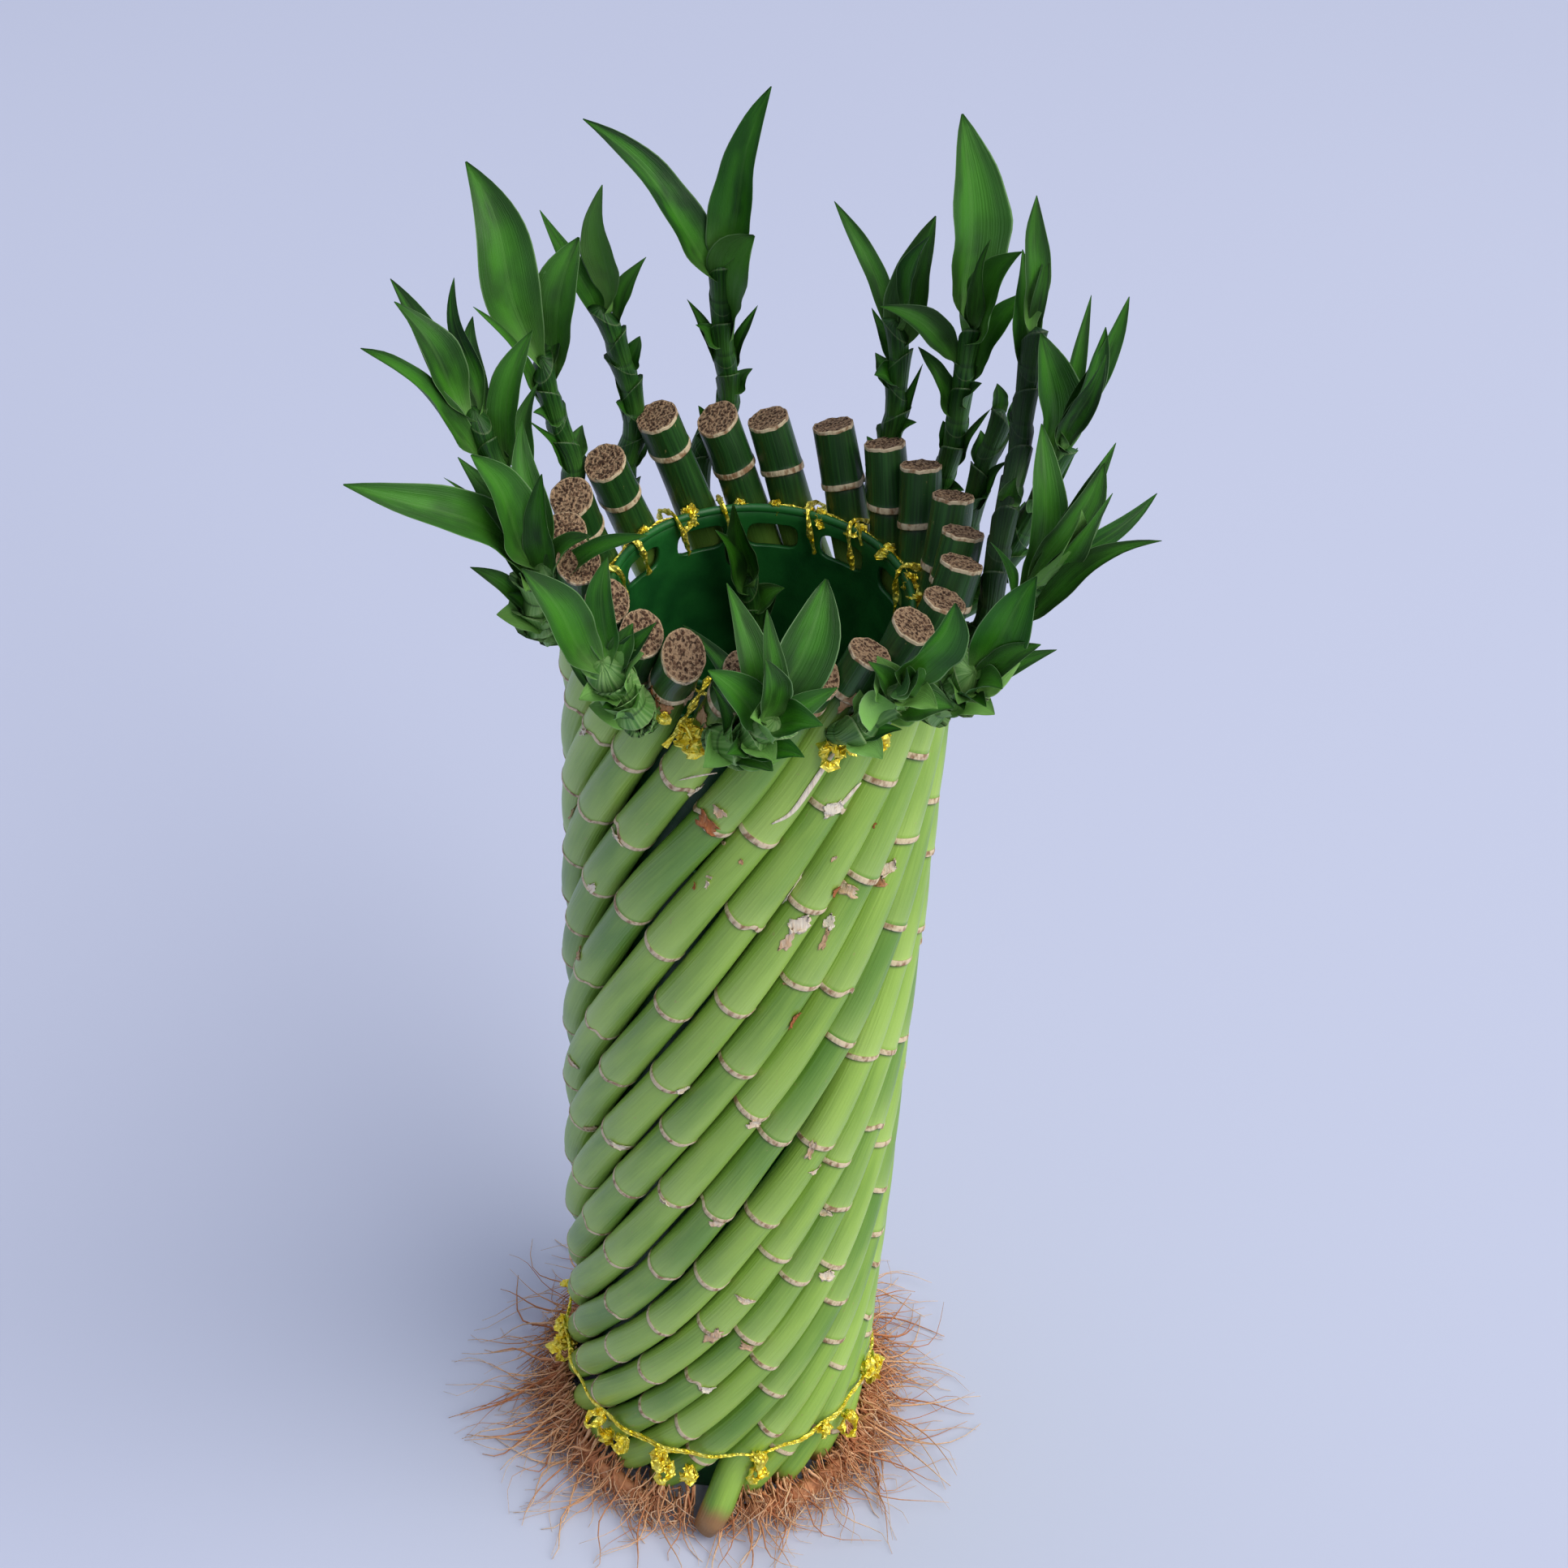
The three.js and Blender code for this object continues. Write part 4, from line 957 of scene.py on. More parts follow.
def leaf_shell(joint, way, tip, width, index, seed, spoon=1.2, fresh=0):
    """A thin shell round a curve that leaves the stem upwards and bends to its tip.

    With s the share of its length, half the width is W/2 * sin(pi(0.03 + 0.97 s^spoon))^0.9,
    and at the foot it is at least as wide as the stem. The section is a soft V that faces
    the stem where it clasps it, and turns to the light further out.
    """
    away = tip - joint
    sideways = unit(away - way * (away @ way))
    base = joint + sideways * LEAF["offset"]
    reach = np.linalg.norm(tip - base)
    bend = base + way * LEAF["rise"] * reach
    share = np.linspace(0, 0.994, LEAF["rows"])[:, None]
    spine = (1 - share) ** 2 * base + 2 * (1 - share) * share * bend + share**2 * tip
    along = unit(2 * (1 - share) * (bend - base) + 2 * share * (tip - bend))
    facing = way - sideways + LEAF_TURNED * smooth(share, 0, 0.35) * LEAF_LIGHT
    up, across = frame_on(along, facing)

    draws = chance(seed * 5 + index, np.arange(6))
    sweep = (draws[1] - 0.5) * 0.06 * reach * np.sin(2 * np.pi * share**1.5)
    arch = -(0.3 + 0.7 * draws[2]) * 0.045 * reach * np.sin(2 * np.pi * share)
    spine = spine + sweep * across + arch * up

    body = LEAF["broad"] * width / 2 * np.sin(np.pi * (0.03 + 0.97 * share**spoon)) ** 0.9
    clasp = min(LEAF["clasp"], 0.42 * width) * (1 - share) ** 5
    half = np.hypot(body, clasp)
    cup = LEAF["cup"] + LEAF["base_cup"] * (1 - share) ** 3 + 0.55 * (1 - share) ** 9
    thick = LEAF["thick"] * (1 - 0.8 * share)
    wave = 0.7 * np.sin(9 * share + 2.4 * index) * np.minimum(1, half / 2.5)
    ripple = 0.045 * half * np.sin(26 * share + 6 * draws[3])
    lift = half * np.sin(cup) * np.abs(COLUMNS) ** 1.35 + wave * COLUMNS * np.abs(COLUMNS)
    lift = lift + ripple * COLUMNS**4 + (1 - 2 * UNDERSIDE) * thick * (1 - 0.75 * COLUMNS**2)
    rows = section(spine, across, up, half * np.cos(cup) * COLUMNS, lift)

    even = np.ones(lift.shape)
    values = {
        "blade": stacked(COLUMNS + 3.1 * index, share * reach, UNDERSIDE * 5 + seed),
        "across": COLUMNS * even,
        "under": UNDERSIDE * even,
        "tone": draws[4] * even,
        "young": (0.8 * bump(share, 0.24) + 0.15 * draws[5] + fresh) * even,
    }
    return closed_tube(rows, **values)


print("points in a leaf:", LEAF["rows"] * len(COLUMNS) + 2)

# %% Small sheath leaves
# Places on the stem, how far a tip stands out, width, and how light the blade is.
NEST_SCALES = {"places": [0.42, 0.52, 0.62, 0.72, 0.82, 0.92], "out": 9, "width": 8.5, "fresh": 1.1}
TALL_SCALES = {"places": [0.3, 0.52, 0.72], "out": 6, "width": 5, "fresh": 0}
GOLDEN = np.radians(137.5)


def scale_leaves(path, seed, stout):
    """Short broad leaves that clasp the stem: round a nest, or left and right on a tall stem."""
    scales = NEST_SCALES if stout > 1 else TALL_SCALES
    shells = []
    for index, share in enumerate(scales["places"]):
        joint, way = (found[0] for found in path(share))
        out, across = frame_on(way, joint * IN_PLAN)
        angle = GOLDEN * index + seed if stout > 1 else np.pi * (index + seed) + np.pi / 2
        side = np.cos(angle) * out + np.sin(angle) * across
        size = 1 + 0.4 * chance(seed * 3 + index, 9)
        tip = joint + size * (way * 7 + side * scales["out"])
        width = scales["width"] * size
        shells.append(leaf_shell(joint, way, tip, width, index + 20, seed, 0.9, scales["fresh"]))
    return shells


print("small leaves on a nest:", len(NEST_SCALES["places"]), "on a tall stem:", len(TALL_SCALES["places"]))

# %% All the shoots
leaf_faces = 0
for seed, (name, (stalk, foot, stem, leaves)) in enumerate(SHOOTS.items()):
    path, length = smooth_path([stalk_centre(stalk, foot), *(place(*point) for point in stem)])
    stout = STOUT.get(name, 1)
    stem_piece = stem_shell(path, length, seed, stout, PAINTED_STEM_SHADE.get(name, 0))
    put_in(name.replace("shoot", "stem"), [stem_piece], LEAF_SHEATH, "leaf", name)
    blades = scale_leaves(path, seed, stout)
    for index, (at, azimuth, radius, height, width, *spoon) in enumerate(leaves):
        joint, way = (found[0] for found in path(at))
        tip = place(azimuth, radius, height)
        blades.append(leaf_shell(joint, way, tip, width, index, seed, *spoon))
    piece = put_in(name.replace("shoot", "leaves"), blades, LEAF_BLADE, "leaf", name)
    leaf_faces += len(piece.data.polygons)
print("leaves:", leaf_faces, "faces")

# %% [markdown]
# ## Scraps of dry sheath
# Each node once carried a leaf whose dry foot has torn away. What is left are papery
# scraps, brown shreds and a few long strips. They could be patches of colour in the skin,
# but real ones stand off it, so they are thin shells laid on it where the picture shows
# them: a sight line gives the place on the tower, and the nearest stalk there carries the
# scrap.

# %% The scraps' finish
paint = Paint("dry_sheath", {"Specular IOR Level": 0.2})
paper = paint.grain(1.2, 0.25, 5.0)
stain = paint.value("stain") + (paper - 0.5) * 0.5
dry = paint.layers(
    paint.between(stain, 0.05, 0.4, (236, 224, 200), (204, 168, 130)),
    (paint.step(stain, 0.4, 0.75), (170, 104, 62)),
    (paint.step(stain, 0.85, 1.1), (104, 60, 36)),
)
DRY_SHEATH = paint.finish(dry, 0.8 + paper * 0.1, paper, 0.0006)


# %% A scrap on a stalk
# Radii round the tower's axis, the grids' rows and columns, and the paper's thickness.
SEEN_SKIN = TRACK + 5.6
SCRAP = {"rows": 11, "columns": 9, "thick": 0.14, "lift": 0.12}
STRIP = {"seen": TRACK + 5.9, "laid": TRACK + 6.3, "rows": 26, "sides": 6, "thick": 0.12}
PAPER_APART = 40.0


def find_stalk(x, y):
    """The stalk at a picture point, with the distance along it and the angle round it.

    The angle is the arcsine of the sideways offset over the stalk's radius.
    """
    azimuth, height = seen_on_tower(x, y, SEEN_SKIN)
    offsets = [(azimuth - stalk_azimuth(stalk, height) + 180) % 360 - 180 for stalk in range(COUNT)]
    stalk = int(np.abs(offsets).argmin())
    aside = np.radians(offsets[stalk]) * TRACK
    sideways = aside * np.cos(lean_at(height)) / STALK["belly"]
    climbed = aside * np.sin(lean_at(height))
    distance = length_below(height) - length_below(node_places(stalk)[0]) + climbed
    return stalk, float(distance), float(np.arcsin(np.clip(sideways, -0.97, 0.97)))


def on_skin(stalk, distance, angle, lift):
    """Points on a stalk's skin, lifted off it: centre + (radius + lift) * way out."""
    foot = node_places(stalk)[0]
    centre, _, out, across = stalk_frame(stalk, height_along(foot, distance))
    radius = np.interp(distance, *skin_tables[stalk]) + lift
    return centre + (radius * np.cos(angle))[..., None] * out + (radius * np.sin(angle))[..., None] * across


def paper_shell(rows, stain, seed):
    """A closed shell with its own place in the paper's pattern."""
    return closed_tube(rows, grain=rows + PAPER_APART * seed, stain=np.full(rows.shape[:2], stain))


def scrap_shell(x, y, length, width, stain, seed):
    """A ragged patch: a grid over distance and angle whose edges wave and curl up."""
    stalk, middle, turned = find_stalk(x, y)
    a = np.linspace(-1, 1, SCRAP["rows"])[:, None]
    b = np.linspace(-1, 1, SCRAP["columns"])
    lengths = length / 2 * (0.78 + 0.22 * np.sin(3 * b + seed) + 0.16 * np.sin(8 * b + 2 * seed))
    widths = width / 2 * (0.8 + 0.25 * np.sin(2.5 * a + seed) + 0.15 * np.sin(9 * a + 3 * seed))
    widths = widths * np.sqrt(1 - 0.7 * a**2)
    distance = middle + a * lengths
    angle = turned + b * widths / STALK["belly"] + 0.1 * np.sin(seed) * a
    curl = SCRAP["lift"] + (0.5 * a**4 + 0.4 * b**4) * (0.2 + 0.8 * chance(seed, 1))
    top = on_skin(stalk, distance, angle, curl)
    low = on_skin(stalk, distance[:, ::-1], angle[:, ::-1], curl[:, ::-1] - SCRAP["thick"])
    return paper_shell(np.concatenate([top, low], 1), stain, seed)


def strip_shell(spots, width, stain, seed):
    """A narrow strip over the tower through picture points, wide in its middle."""
    azimuth, height = seen_on_tower(*np.transpose(spots), STRIP["seen"])
    path, _ = smooth_path(place(azimuth, STRIP["laid"], height))
    share = np.linspace(0, 1, STRIP["rows"])
    centre, way = path(share)
    out, across = frame_on(way, centre * IN_PLAN)
    wide = width / 2 * (0.25 + np.sin(np.pi * share) ** 0.6)
    turns = ring_angles(STRIP["sides"])
    rows = section(centre, out, across, STRIP["thick"] * np.cos(turns), wide[:, None] * np.sin(turns))
    return paper_shell(rows, stain, seed)


print("below the picture's middle is stalk", find_stalk(966, 1200)[0] + 1)

# %% Every scrap
# Picture point, length along the stalk, width round it, and how brown it is.
SCRAPS = [
    (721, 901, 7, 1.8, 0.1), (760, 1030, 3, 6, 0.1), (731, 1093, 6, 2.6, 0.1), (860, 988, 5, 6, 0.15),
    (871, 1014, 4, 9, 0.7), (885, 1000, 3, 5, 0.3), (1024, 996, 7, 5, 0.05), (983, 1104, 11, 5, 0.1),
    (986, 1138, 8, 7, 0.15), (970, 1158, 8, 4, 0.3), (1047, 1102, 4, 9, 0.3), (1030, 1098, 4, 3, 0.8),
    (1107, 1048, 14, 4, 0.05), (1100, 1075, 7, 4, 0.2), (1090, 1094, 4, 6, 0.6), (1024, 1141, 5, 4, 0.1),
    (1016, 1160, 7, 2.2, 0.45), (980, 1258, 7, 3, 0.75), (762, 1414, 3, 8, 0.05), (841, 1347, 4, 4, 0.05),
    (818, 1479, 3, 4, 0.05), (885, 1508, 4, 6, 0.25), (932, 1385, 4, 7, 0.2), (1000, 1420, 7, 3, 0.3),
    (1008, 1444, 3, 8, 0.2), (1020, 1502, 3, 6, 0.2), (1050, 1552, 6, 4, 0.1), (1020, 1573, 5, 6, 0.15),
    (880, 1646, 9, 6, 0.3), (920, 1660, 3, 8, 0.4), (873, 1713, 4, 7, 0.05), (917, 1602, 3, 8, 0.2),
    (871, 1083, 1.8, 1.3, 0.2), (887, 1051, 1.6, 1.5, 0.3), (913, 1061, 1.6, 1.8, 0.6),
    (852, 1096, 1.5, 1.2, 0.7), (870, 1090, 2.4, 1.5, 0.15), (1027, 1061, 2.4, 1.2, 0.3),
    (968, 1220, 1.6, 1.2, 0.5), (1081, 1018, 1.5, 1.5, 0.95),
    (803, 852, 9, 3, 0.8), (812, 864, 10, 2.6, 0.7), (824, 874, 6, 5, 0.6), (846, 868, 7, 3, 0.3),
    (1040, 862, 8, 3, 0.5), (1052, 876, 7, 3, 0.85), (1066, 862, 7, 2.4, 0.8), (862, 884, 5, 6, 0.5),
    (700, 1000, 4, 5, 0.3), (712, 1175, 4, 5, 0.3), (705, 1310, 4, 6, 0.2), (716, 1396, 5, 5, 0.3),
]
# Picture points along a strip, its width, how brown it is, and its place in the pattern.
STRIPS = [
    ([(951, 1014), (975, 1000), (1000, 966), (1020, 936), (1036, 914)], 1.6, 0.1, 90),
    ([(1022, 1000), (1036, 990), (1050, 974), (1060, 963)], 1.4, 0.1, 91),
    ([(838, 960), (860, 955), (884, 951)], 0.5, 0.15, 92),
]
scraps = [scrap_shell(*scrap, seed) for seed, scrap in enumerate(SCRAPS, 1)]
scraps += [strip_shell(*strip) for strip in STRIPS]
put_in("dry_sheath_scraps", scraps, DRY_SHEATH, "stalk")
print("scraps:", len(scraps))

# %% [markdown]
# ## The plastic cylinder
# A moulded sleeve of dark green plastic, with rounded windows in a row under its rim and
# a few square ones lower down. A boolean could cut them, but it leaves long thin faces
# that catch the light. Here the wall is a sheet of cells instead. A plain cell is a grid,
# and a window's cell is a ring of faces between the window's outline and the cell's own
# edge. All edges fall on steps of three degrees, so the cells weld into one sheet, and
# Solidify gives it its thickness.

# %% The plastic
paint = Paint("green_plastic", {"Specular IOR Level": 0.5})
in_object = paint.object_place()
mould = paint.noise(in_object, 90.0, 2.0)
grainy = paint.noise(in_object, 900.0, 2.0)
plastic = paint.between(mould, 0.3, 0.7, (20, 82, 34), (34, 108, 44))
GREEN_PLASTIC = paint.finish(plastic, 0.34 + grainy * 0.16, grainy * 0.3 + mould, 0.0002)

# %% Cells of the wall
COLUMN = 3
WINDOW_ROWS = 5
FROM_HOLE = np.array([0, 0.12, 0.5, 1])
TINY = 1e-6


def rounded(angles, width, height, corner):
    """A rounded oblong: an oblong's outline pulled in to a circle at each corner."""
    half = np.array([width, height]) / 2
    ways = np.stack([np.cos(angles), np.sin(angles)], -1)
    square = ways * (half / np.maximum(abs(ways), TINY)).min(1, keepdims=True)
    core = np.clip(square, corner - half, half - corner)
    out = square - core
    size = np.linalg.norm(out, axis=1, keepdims=True)
    return core + np.where(size > TINY, out / np.maximum(size, TINY) * np.minimum(size, corner), 0)


def window_cell(azimuth, middle, half_span, half_rise, width, height, corner):
    """A ring of faces from a window's outline to the edge of its cell."""
    columns = round(2 * half_span / COLUMN)
    span = np.linspace(-1, 1, columns + 1)
    rise = np.linspace(-1, 1, WINDOW_ROWS + 1)
    low = np.stack([span, -np.ones(columns + 1)], -1)[:-1]
    right = np.stack([np.ones(WINDOW_ROWS + 1), rise], -1)[:-1]
    outer = np.concatenate([low, right, -low, -right]) * [half_span, half_rise]
    flat = np.radians(1) * CYLINDER["radius"]
    hole = rounded(np.arctan2(outer[:, 1], outer[:, 0] * flat), width, height, corner) / [flat, 1]
    spots = hole + FROM_HOLE[:, None, None] * (outer - hole) + [azimuth, middle]
    quads = ring_quads(len(FROM_HOLE), len(outer))
    return spots.reshape(-1, 2), quads[:, [0, 3, 2, 1]]


def plain_cell(start, end, low, high, rows):
    """A grid of faces over azimuths and heights."""
    columns = round((end - start) / COLUMN)
    azimuth, height = np.meshgrid(np.linspace(start, end, columns + 1), np.linspace(low, high, rows + 1))
    corner = (np.arange(rows)[:, None] * (columns + 1) + np.arange(columns)).ravel()
    quads = np.stack([corner, corner + 1, corner + columns + 2, corner + columns + 1], -1)
    return np.stack([azimuth.ravel(), height.ravel()], -1), quads


print("faces round a window:", len(window_cell(0, 355, 15, 5.5, 15, 8, 3)[1]))

# %% The wall's sheet, with its windows
# Heights of the plain bands, and half the span and rise of a window's cell, with the
# window's width, height and corner. The low windows are in rows of four.
BANDS = [(0, 235), (251, 295), (311, 349.5), (360.5, 364.4)]
BAND_ROW = 20
RIM_WINDOW = (15, 5.5, 15, 8, 3)
RIM_WINDOWS = {"first": 27, "step": 30, "height": 355}
LOW_WINDOW = (15, 8, 15, 12, 1.2)
LOW_WINDOWS = [(75, 303), (33, 243)]
QUARTER = 90
# Spots that agree to this part of a degree and of a millimetre are one point.
WELD_PARTS = 500

cells = []
for low, high in BANDS:
    cells.append(plain_cell(0, 360, low, high, max(1, round((high - low) / BAND_ROW))))
for azimuth in range(RIM_WINDOWS["first"], RIM_WINDOWS["first"] + 360, RIM_WINDOWS["step"]):
    cells.append(window_cell(azimuth, RIM_WINDOWS["height"], *RIM_WINDOW))
half_span, half_rise, *_ = LOW_WINDOW
for first, middle in LOW_WINDOWS:
    low, high = middle - half_rise, middle + half_rise
    for azimuth in range(first, first + 360, QUARTER):
        cells.append(window_cell(azimuth, middle, *LOW_WINDOW))
        cells.append(plain_cell(azimuth + half_span, azimuth + QUARTER - half_span, low, high, WINDOW_ROWS))
spots = np.concatenate([found for found, _ in cells])
spots[:, 0] %= 360
shifts = starts([found for found, _ in cells])
quads = np.concatenate([faces + shift for (_, faces), shift in zip(cells, shifts)])
nearest = (spots * WELD_PARTS).round().astype(int)
nearest[:, 0] %= 360 * WELD_PARTS
_, first_seen, welded = np.unique(nearest, axis=0, return_index=True, return_inverse=True)
sheet = place(spots[first_seen, 0], CYLINDER["radius"], spots[first_seen, 1])
wall_shell = {
    "points": sheet, "quads": welded.reshape(-1)[quads], "fans": np.zeros((0, 3), int), "values": {},
}
print("wall cells:", len(cells), "points:", len(sheet))

# %% The wall and its rim
RIM = {"inside": 0.75, "height": 363.7, "wide": 1.05, "tall": 1.3, "sides": 12}
wall = put_in("cylinder_wall", [wall_shell], GREEN_PLASTIC, "plastic", "plastic_cylinder")
thicken = wall.modifiers.new("wall thickness", "SOLIDIFY")
thicken.thickness = CYLINDER["wall"] * MM
thicken.offset = -1
rim_turns = ring_angles(RIM["sides"])
azimuths = np.arange(0, 361, COLUMN)
rim_middle = place(azimuths, CYLINDER["radius"] - RIM["inside"], RIM["height"])
rim_out = place(azimuths, 1, 0)
upward = np.array([[0, 0, 1]])
rim_x, rim_y = RIM["wide"] * np.cos(rim_turns), RIM["tall"] * np.sin(rim_turns)
rim_rows = section(rim_middle, rim_out, upward, rim_x, rim_y)
rim = put_in("cylinder_rim", [closed_tube(rim_rows[::-1])], GREEN_PLASTIC, "plastic", "plastic_cylinder")
print("wall and rim:", len(wall.data.polygons), "and", len(rim.data.polygons), "faces")

# %% [markdown]
# ## Gold foil
# The wire is a flat gold foil cord, crumpled where it is knotted. A knot is a few small
# loops of it in different planes, which is simpler than a real knot and looks the same at
# this size. The mesh is left flat-shaded, because each facet of crumpled foil catches the
# light on its own.

# %% The foil
paint = Paint("gold_foil", {"Metallic": 0.8})
in_object = paint.object_place()
creases = paint.cells(in_object, 700.0)
tint = paint.noise(in_object, 400.0, 2.0)
gold = paint.between(tint, 0.3, 0.7, (244, 214, 40), (255, 244, 116))
GOLD_FOIL = paint.finish(gold, 0.26 + tint * 0.26, creases, 0.0006)

# %% Foil cord, knots and hoops
FOIL = {"wide": 1.5, "thin": 0.5, "sides": 6, "roll": 0.55}
KNOT = {"loops": 3, "points": 11, "narrow": 0.62, "bend": 0.3}
# The seed of the first knot in each place, and how far the next knot's seed is from it.
SEEDS = {"rim": 20, "front": 200, "foot": 400, "back": 600, "apart": 7}
WAVED = {"points": 253, "dip": 0.45, "sway": 0.5, "sways": 5}


def foil_shell(points, seed, wide=FOIL["wide"]):
    """A flat section that turns as it follows the points, with every corner jogged."""
    ways = unit(np.gradient(points, axis=0))
    out, across = frame_on(ways, np.array([0.31, 0.52, 0.8]))
    row = np.arange(len(points))[:, None]
    turns = ring_angles(FOIL["sides"])
    jog = 0.75 + 0.5 * chance(row * 3 + seed, turns * 7)
    flat = wide * np.cos(turns) * jog
    thin = FOIL["thin"] * np.sin(turns) * jog
    cosine, sine = np.cos(FOIL["roll"] * row + seed), np.sin(FOIL["roll"] * row + seed)
    return closed_tube(section(points, out, across, flat * cosine - thin * sine, flat * sine + thin * cosine))


def knots(centres, sizes, first_seed):
    """Loops of foil round each centre: each is a bent ring in a plane of its own."""
    turns = np.linspace(0, 2 * np.pi, KNOT["points"])[:, None]
    shells = []
    for knot, (centre, size) in enumerate(zip(centres, sizes)):
        own_seed = first_seed + knot * SEEDS["apart"]
        for seed in range(own_seed, own_seed + KNOT["loops"]):
            draws = chance(seed, np.arange(5))
            axis = unit(draws[1:4] - 0.5)
            out, across = frame_on(axis, np.array([0.2, 0.1, 1.0]))
            reach = size * (0.6 + 0.7 * draws[4])
            ring = (np.cos(turns) - 0.75) * out + np.sin(turns) * across * KNOT["narrow"]
            ring = ring + axis * np.sin(2 * turns) * KNOT["bend"]
            shells.append(foil_shell(centre + ring * reach, seed))
    return shells


def hoop_points(height, radius, phase):
    """A hoop that dips a little between stalks and rises and falls a little."""
    azimuth = np.linspace(0, 360, WAVED["points"])
    dip = WAVED["dip"] * np.cos(np.radians(azimuth * COUNT))
    sway = WAVED["sway"] * np.sin(np.radians(azimuth * WAVED["sways"]) + phase)
    return place(azimuth, radius + dip, height + sway)


print("a knot of foil has", len(knots([np.zeros(3)], [1], 0)), "loops")


# %% The tie at the rim
def gap_azimuth(stalk, height):
    """Midway between a stalk and the next one."""
    other = (stalk + 1) % COUNT
    step = 360 if other == 0 else 0
    return (stalk_azimuth(stalk, height) + stalk_azimuth(other, height) + step) / 2


HOOP = 54.7
RIM_HOOP = {"radius": 42.5, "height": 363.4, "wide": 0.4}
# The foil goes over the rim in the gaps between stalks that are at least this wide, and
# its way over is a radius and a height at each of six points.
WIDE_GAP = 17.7
OVER_RIM = [(HOOP, 352), (50.5, 360.5), (44.5, 365), (40.7, 366), (38.6, 363), (38.2, 353)]
OVER_POINTS = 22
# Places in the picture where gold shows at the rim and below it, and each lump's size.
RIM_GOLD = [
    (856, 632, 2.4), (842, 624, 2), (912, 620, 1.2), (955, 622, 1.4), (1012, 631, 2.2), (1005, 612, 1.4),
    (1057, 651, 2.2), (1093, 676, 1.9), (1119, 711, 2.3), (1121, 735, 1.9), (797, 655, 1.2),
]
FRONT_GOLD = [
    (862, 905, 3), (846, 899, 2.6), (817, 884, 1.9), (876, 916, 2), (935, 925, 1.2), (1026, 914, 3.2),
    (1044, 905, 2.8), (1058, 901, 2.2), (1084, 903, 2.2), (1200, 793, 2.2),
]
top_foil = [foil_shell(hoop_points(RIM_HOOP["height"], RIM_HOOP["radius"], 0), 1, RIM_HOOP["wide"])]
for stalk in range(COUNT):
    gap = (STALKS[(stalk + 1) % COUNT, 0] - STALKS[stalk, 0]) % 360
    if gap >= WIDE_GAP:
        route = [place(gap_azimuth(stalk, height), radius, height) for radius, height in OVER_RIM]
        path, _ = smooth_path(route)
        top_foil.append(foil_shell(path(np.linspace(0, 1, OVER_POINTS))[0], stalk, 1))
x, y, sizes = np.transpose(RIM_GOLD)
azimuths = azimuth_at_height(x, y, CYLINDER["height"])
rim_spots = place(azimuths, CYLINDER["radius"] + 0.2, CYLINDER["height"] - 0.5)
top_foil += knots(rim_spots, sizes, SEEDS["rim"])
x, y, sizes = np.transpose(FRONT_GOLD)
azimuths, heights = seen_on_tower(x, y, HOOP)
top_foil += knots(place(azimuths, HOOP, heights), sizes, SEEDS["front"])
tie_top = put_in("foil_top", top_foil, GOLD_FOIL, "foil", "tie_top")
tie_top.data.shade_flat()
print("foil at the rim:", len(tie_top.data.polygons), "faces")

# %% The tie at the foot
# The same for the foot. Its back is out of sight, and has a knot every 18 degrees.
FOOT_GOLD = [
    (692, 1585, 2), (690, 1642, 2.4), (692, 1668, 3), (690, 1690, 2.6), (740, 1740, 2.6),
    (752, 1766, 3), (766, 1772, 2.2), (815, 1786, 3), (824, 1805, 2.6), (848, 1828, 2.8),
    (935, 1792, 2.8), (935, 1806, 2), (1015, 1756, 2.6), (1042, 1758, 3), (1062, 1750, 3.2),
    (1068, 1715, 2.8), (1072, 1645, 2.2),
]
FOOT_KNOTS = {"radius": HOOP + 0.6, "lowest": 30, "highest": 44, "larger": 1.15}
BACK_KNOTS = {"azimuths": np.arange(110, 272, 18), "height": 38, "size": 2.6}
# Height, phase of the waves, seed and width of each hoop.
FOOT_HOOPS = [(37.6, 1, 3, 0.55), (38.4, 3, 5, 0.5)]

foot_foil = []
for height, phase, seed, wide in FOOT_HOOPS:
    foot_foil.append(foil_shell(hoop_points(height, HOOP - 0.5, phase), seed, wide))
x, y, sizes = np.transpose(FOOT_GOLD)
azimuths, heights = seen_on_tower(x, y, HOOP)
heights = np.clip(heights, FOOT_KNOTS["lowest"], FOOT_KNOTS["highest"])
front = place(azimuths, FOOT_KNOTS["radius"], heights)
foot_foil += knots(front, sizes * FOOT_KNOTS["larger"], SEEDS["foot"])
back = place(BACK_KNOTS["azimuths"], FOOT_KNOTS["radius"], BACK_KNOTS["height"])
foot_foil += knots(back, np.full(len(back), BACK_KNOTS["size"]), SEEDS["back"])
tie_foot = put_in("foil_foot", foot_foil, GOLD_FOIL, "foil", "tie_foot")
tie_foot.data.shade_flat()
print("foil at the foot:", len(tie_foot.data.polygons), "faces")

# %% [markdown]
# ## Roots
# The roots are a rusty tangle: hundreds of short curling strands round the stalks' feet,
# and longer thin ones that splay over the table or stand a little off it. Hair particles
# would be quick, but they aren't a mesh and an export drops them. Each strand is a
# three-sided tube of a few rows, because there are so many.

# %% The roots' finish
paint = Paint("root_hair", {"Specular IOR Level": 0.25})
tint = paint.value("tone")
bark = paint.noise(paint.object_place(), 800.0, 2.0)
rust = paint.layers(
    paint.between(tint, 0.1, 0.9, (196, 130, 88), (240, 190, 142)),
    (paint.step(paint.value("reached") + tint * 0.4, 0.7, 1.3), (236, 206, 172)),
    (paint.step(bark, 0.5, 0.7) * 0.35, (120, 68, 40)),
)
ROOT_HAIR = paint.finish(rust, 0.75 + bark * 0.15, bark, 0.0002)

# %% The mat and its strands
ROOTS = {"clumps": 7, "strands": 300, "rows": 9, "sides": 3}
MAT = {"radius": 55.6, "wide": 2.9, "height": 5.6, "tall": 4.9, "rows": 22, "sides": 14}


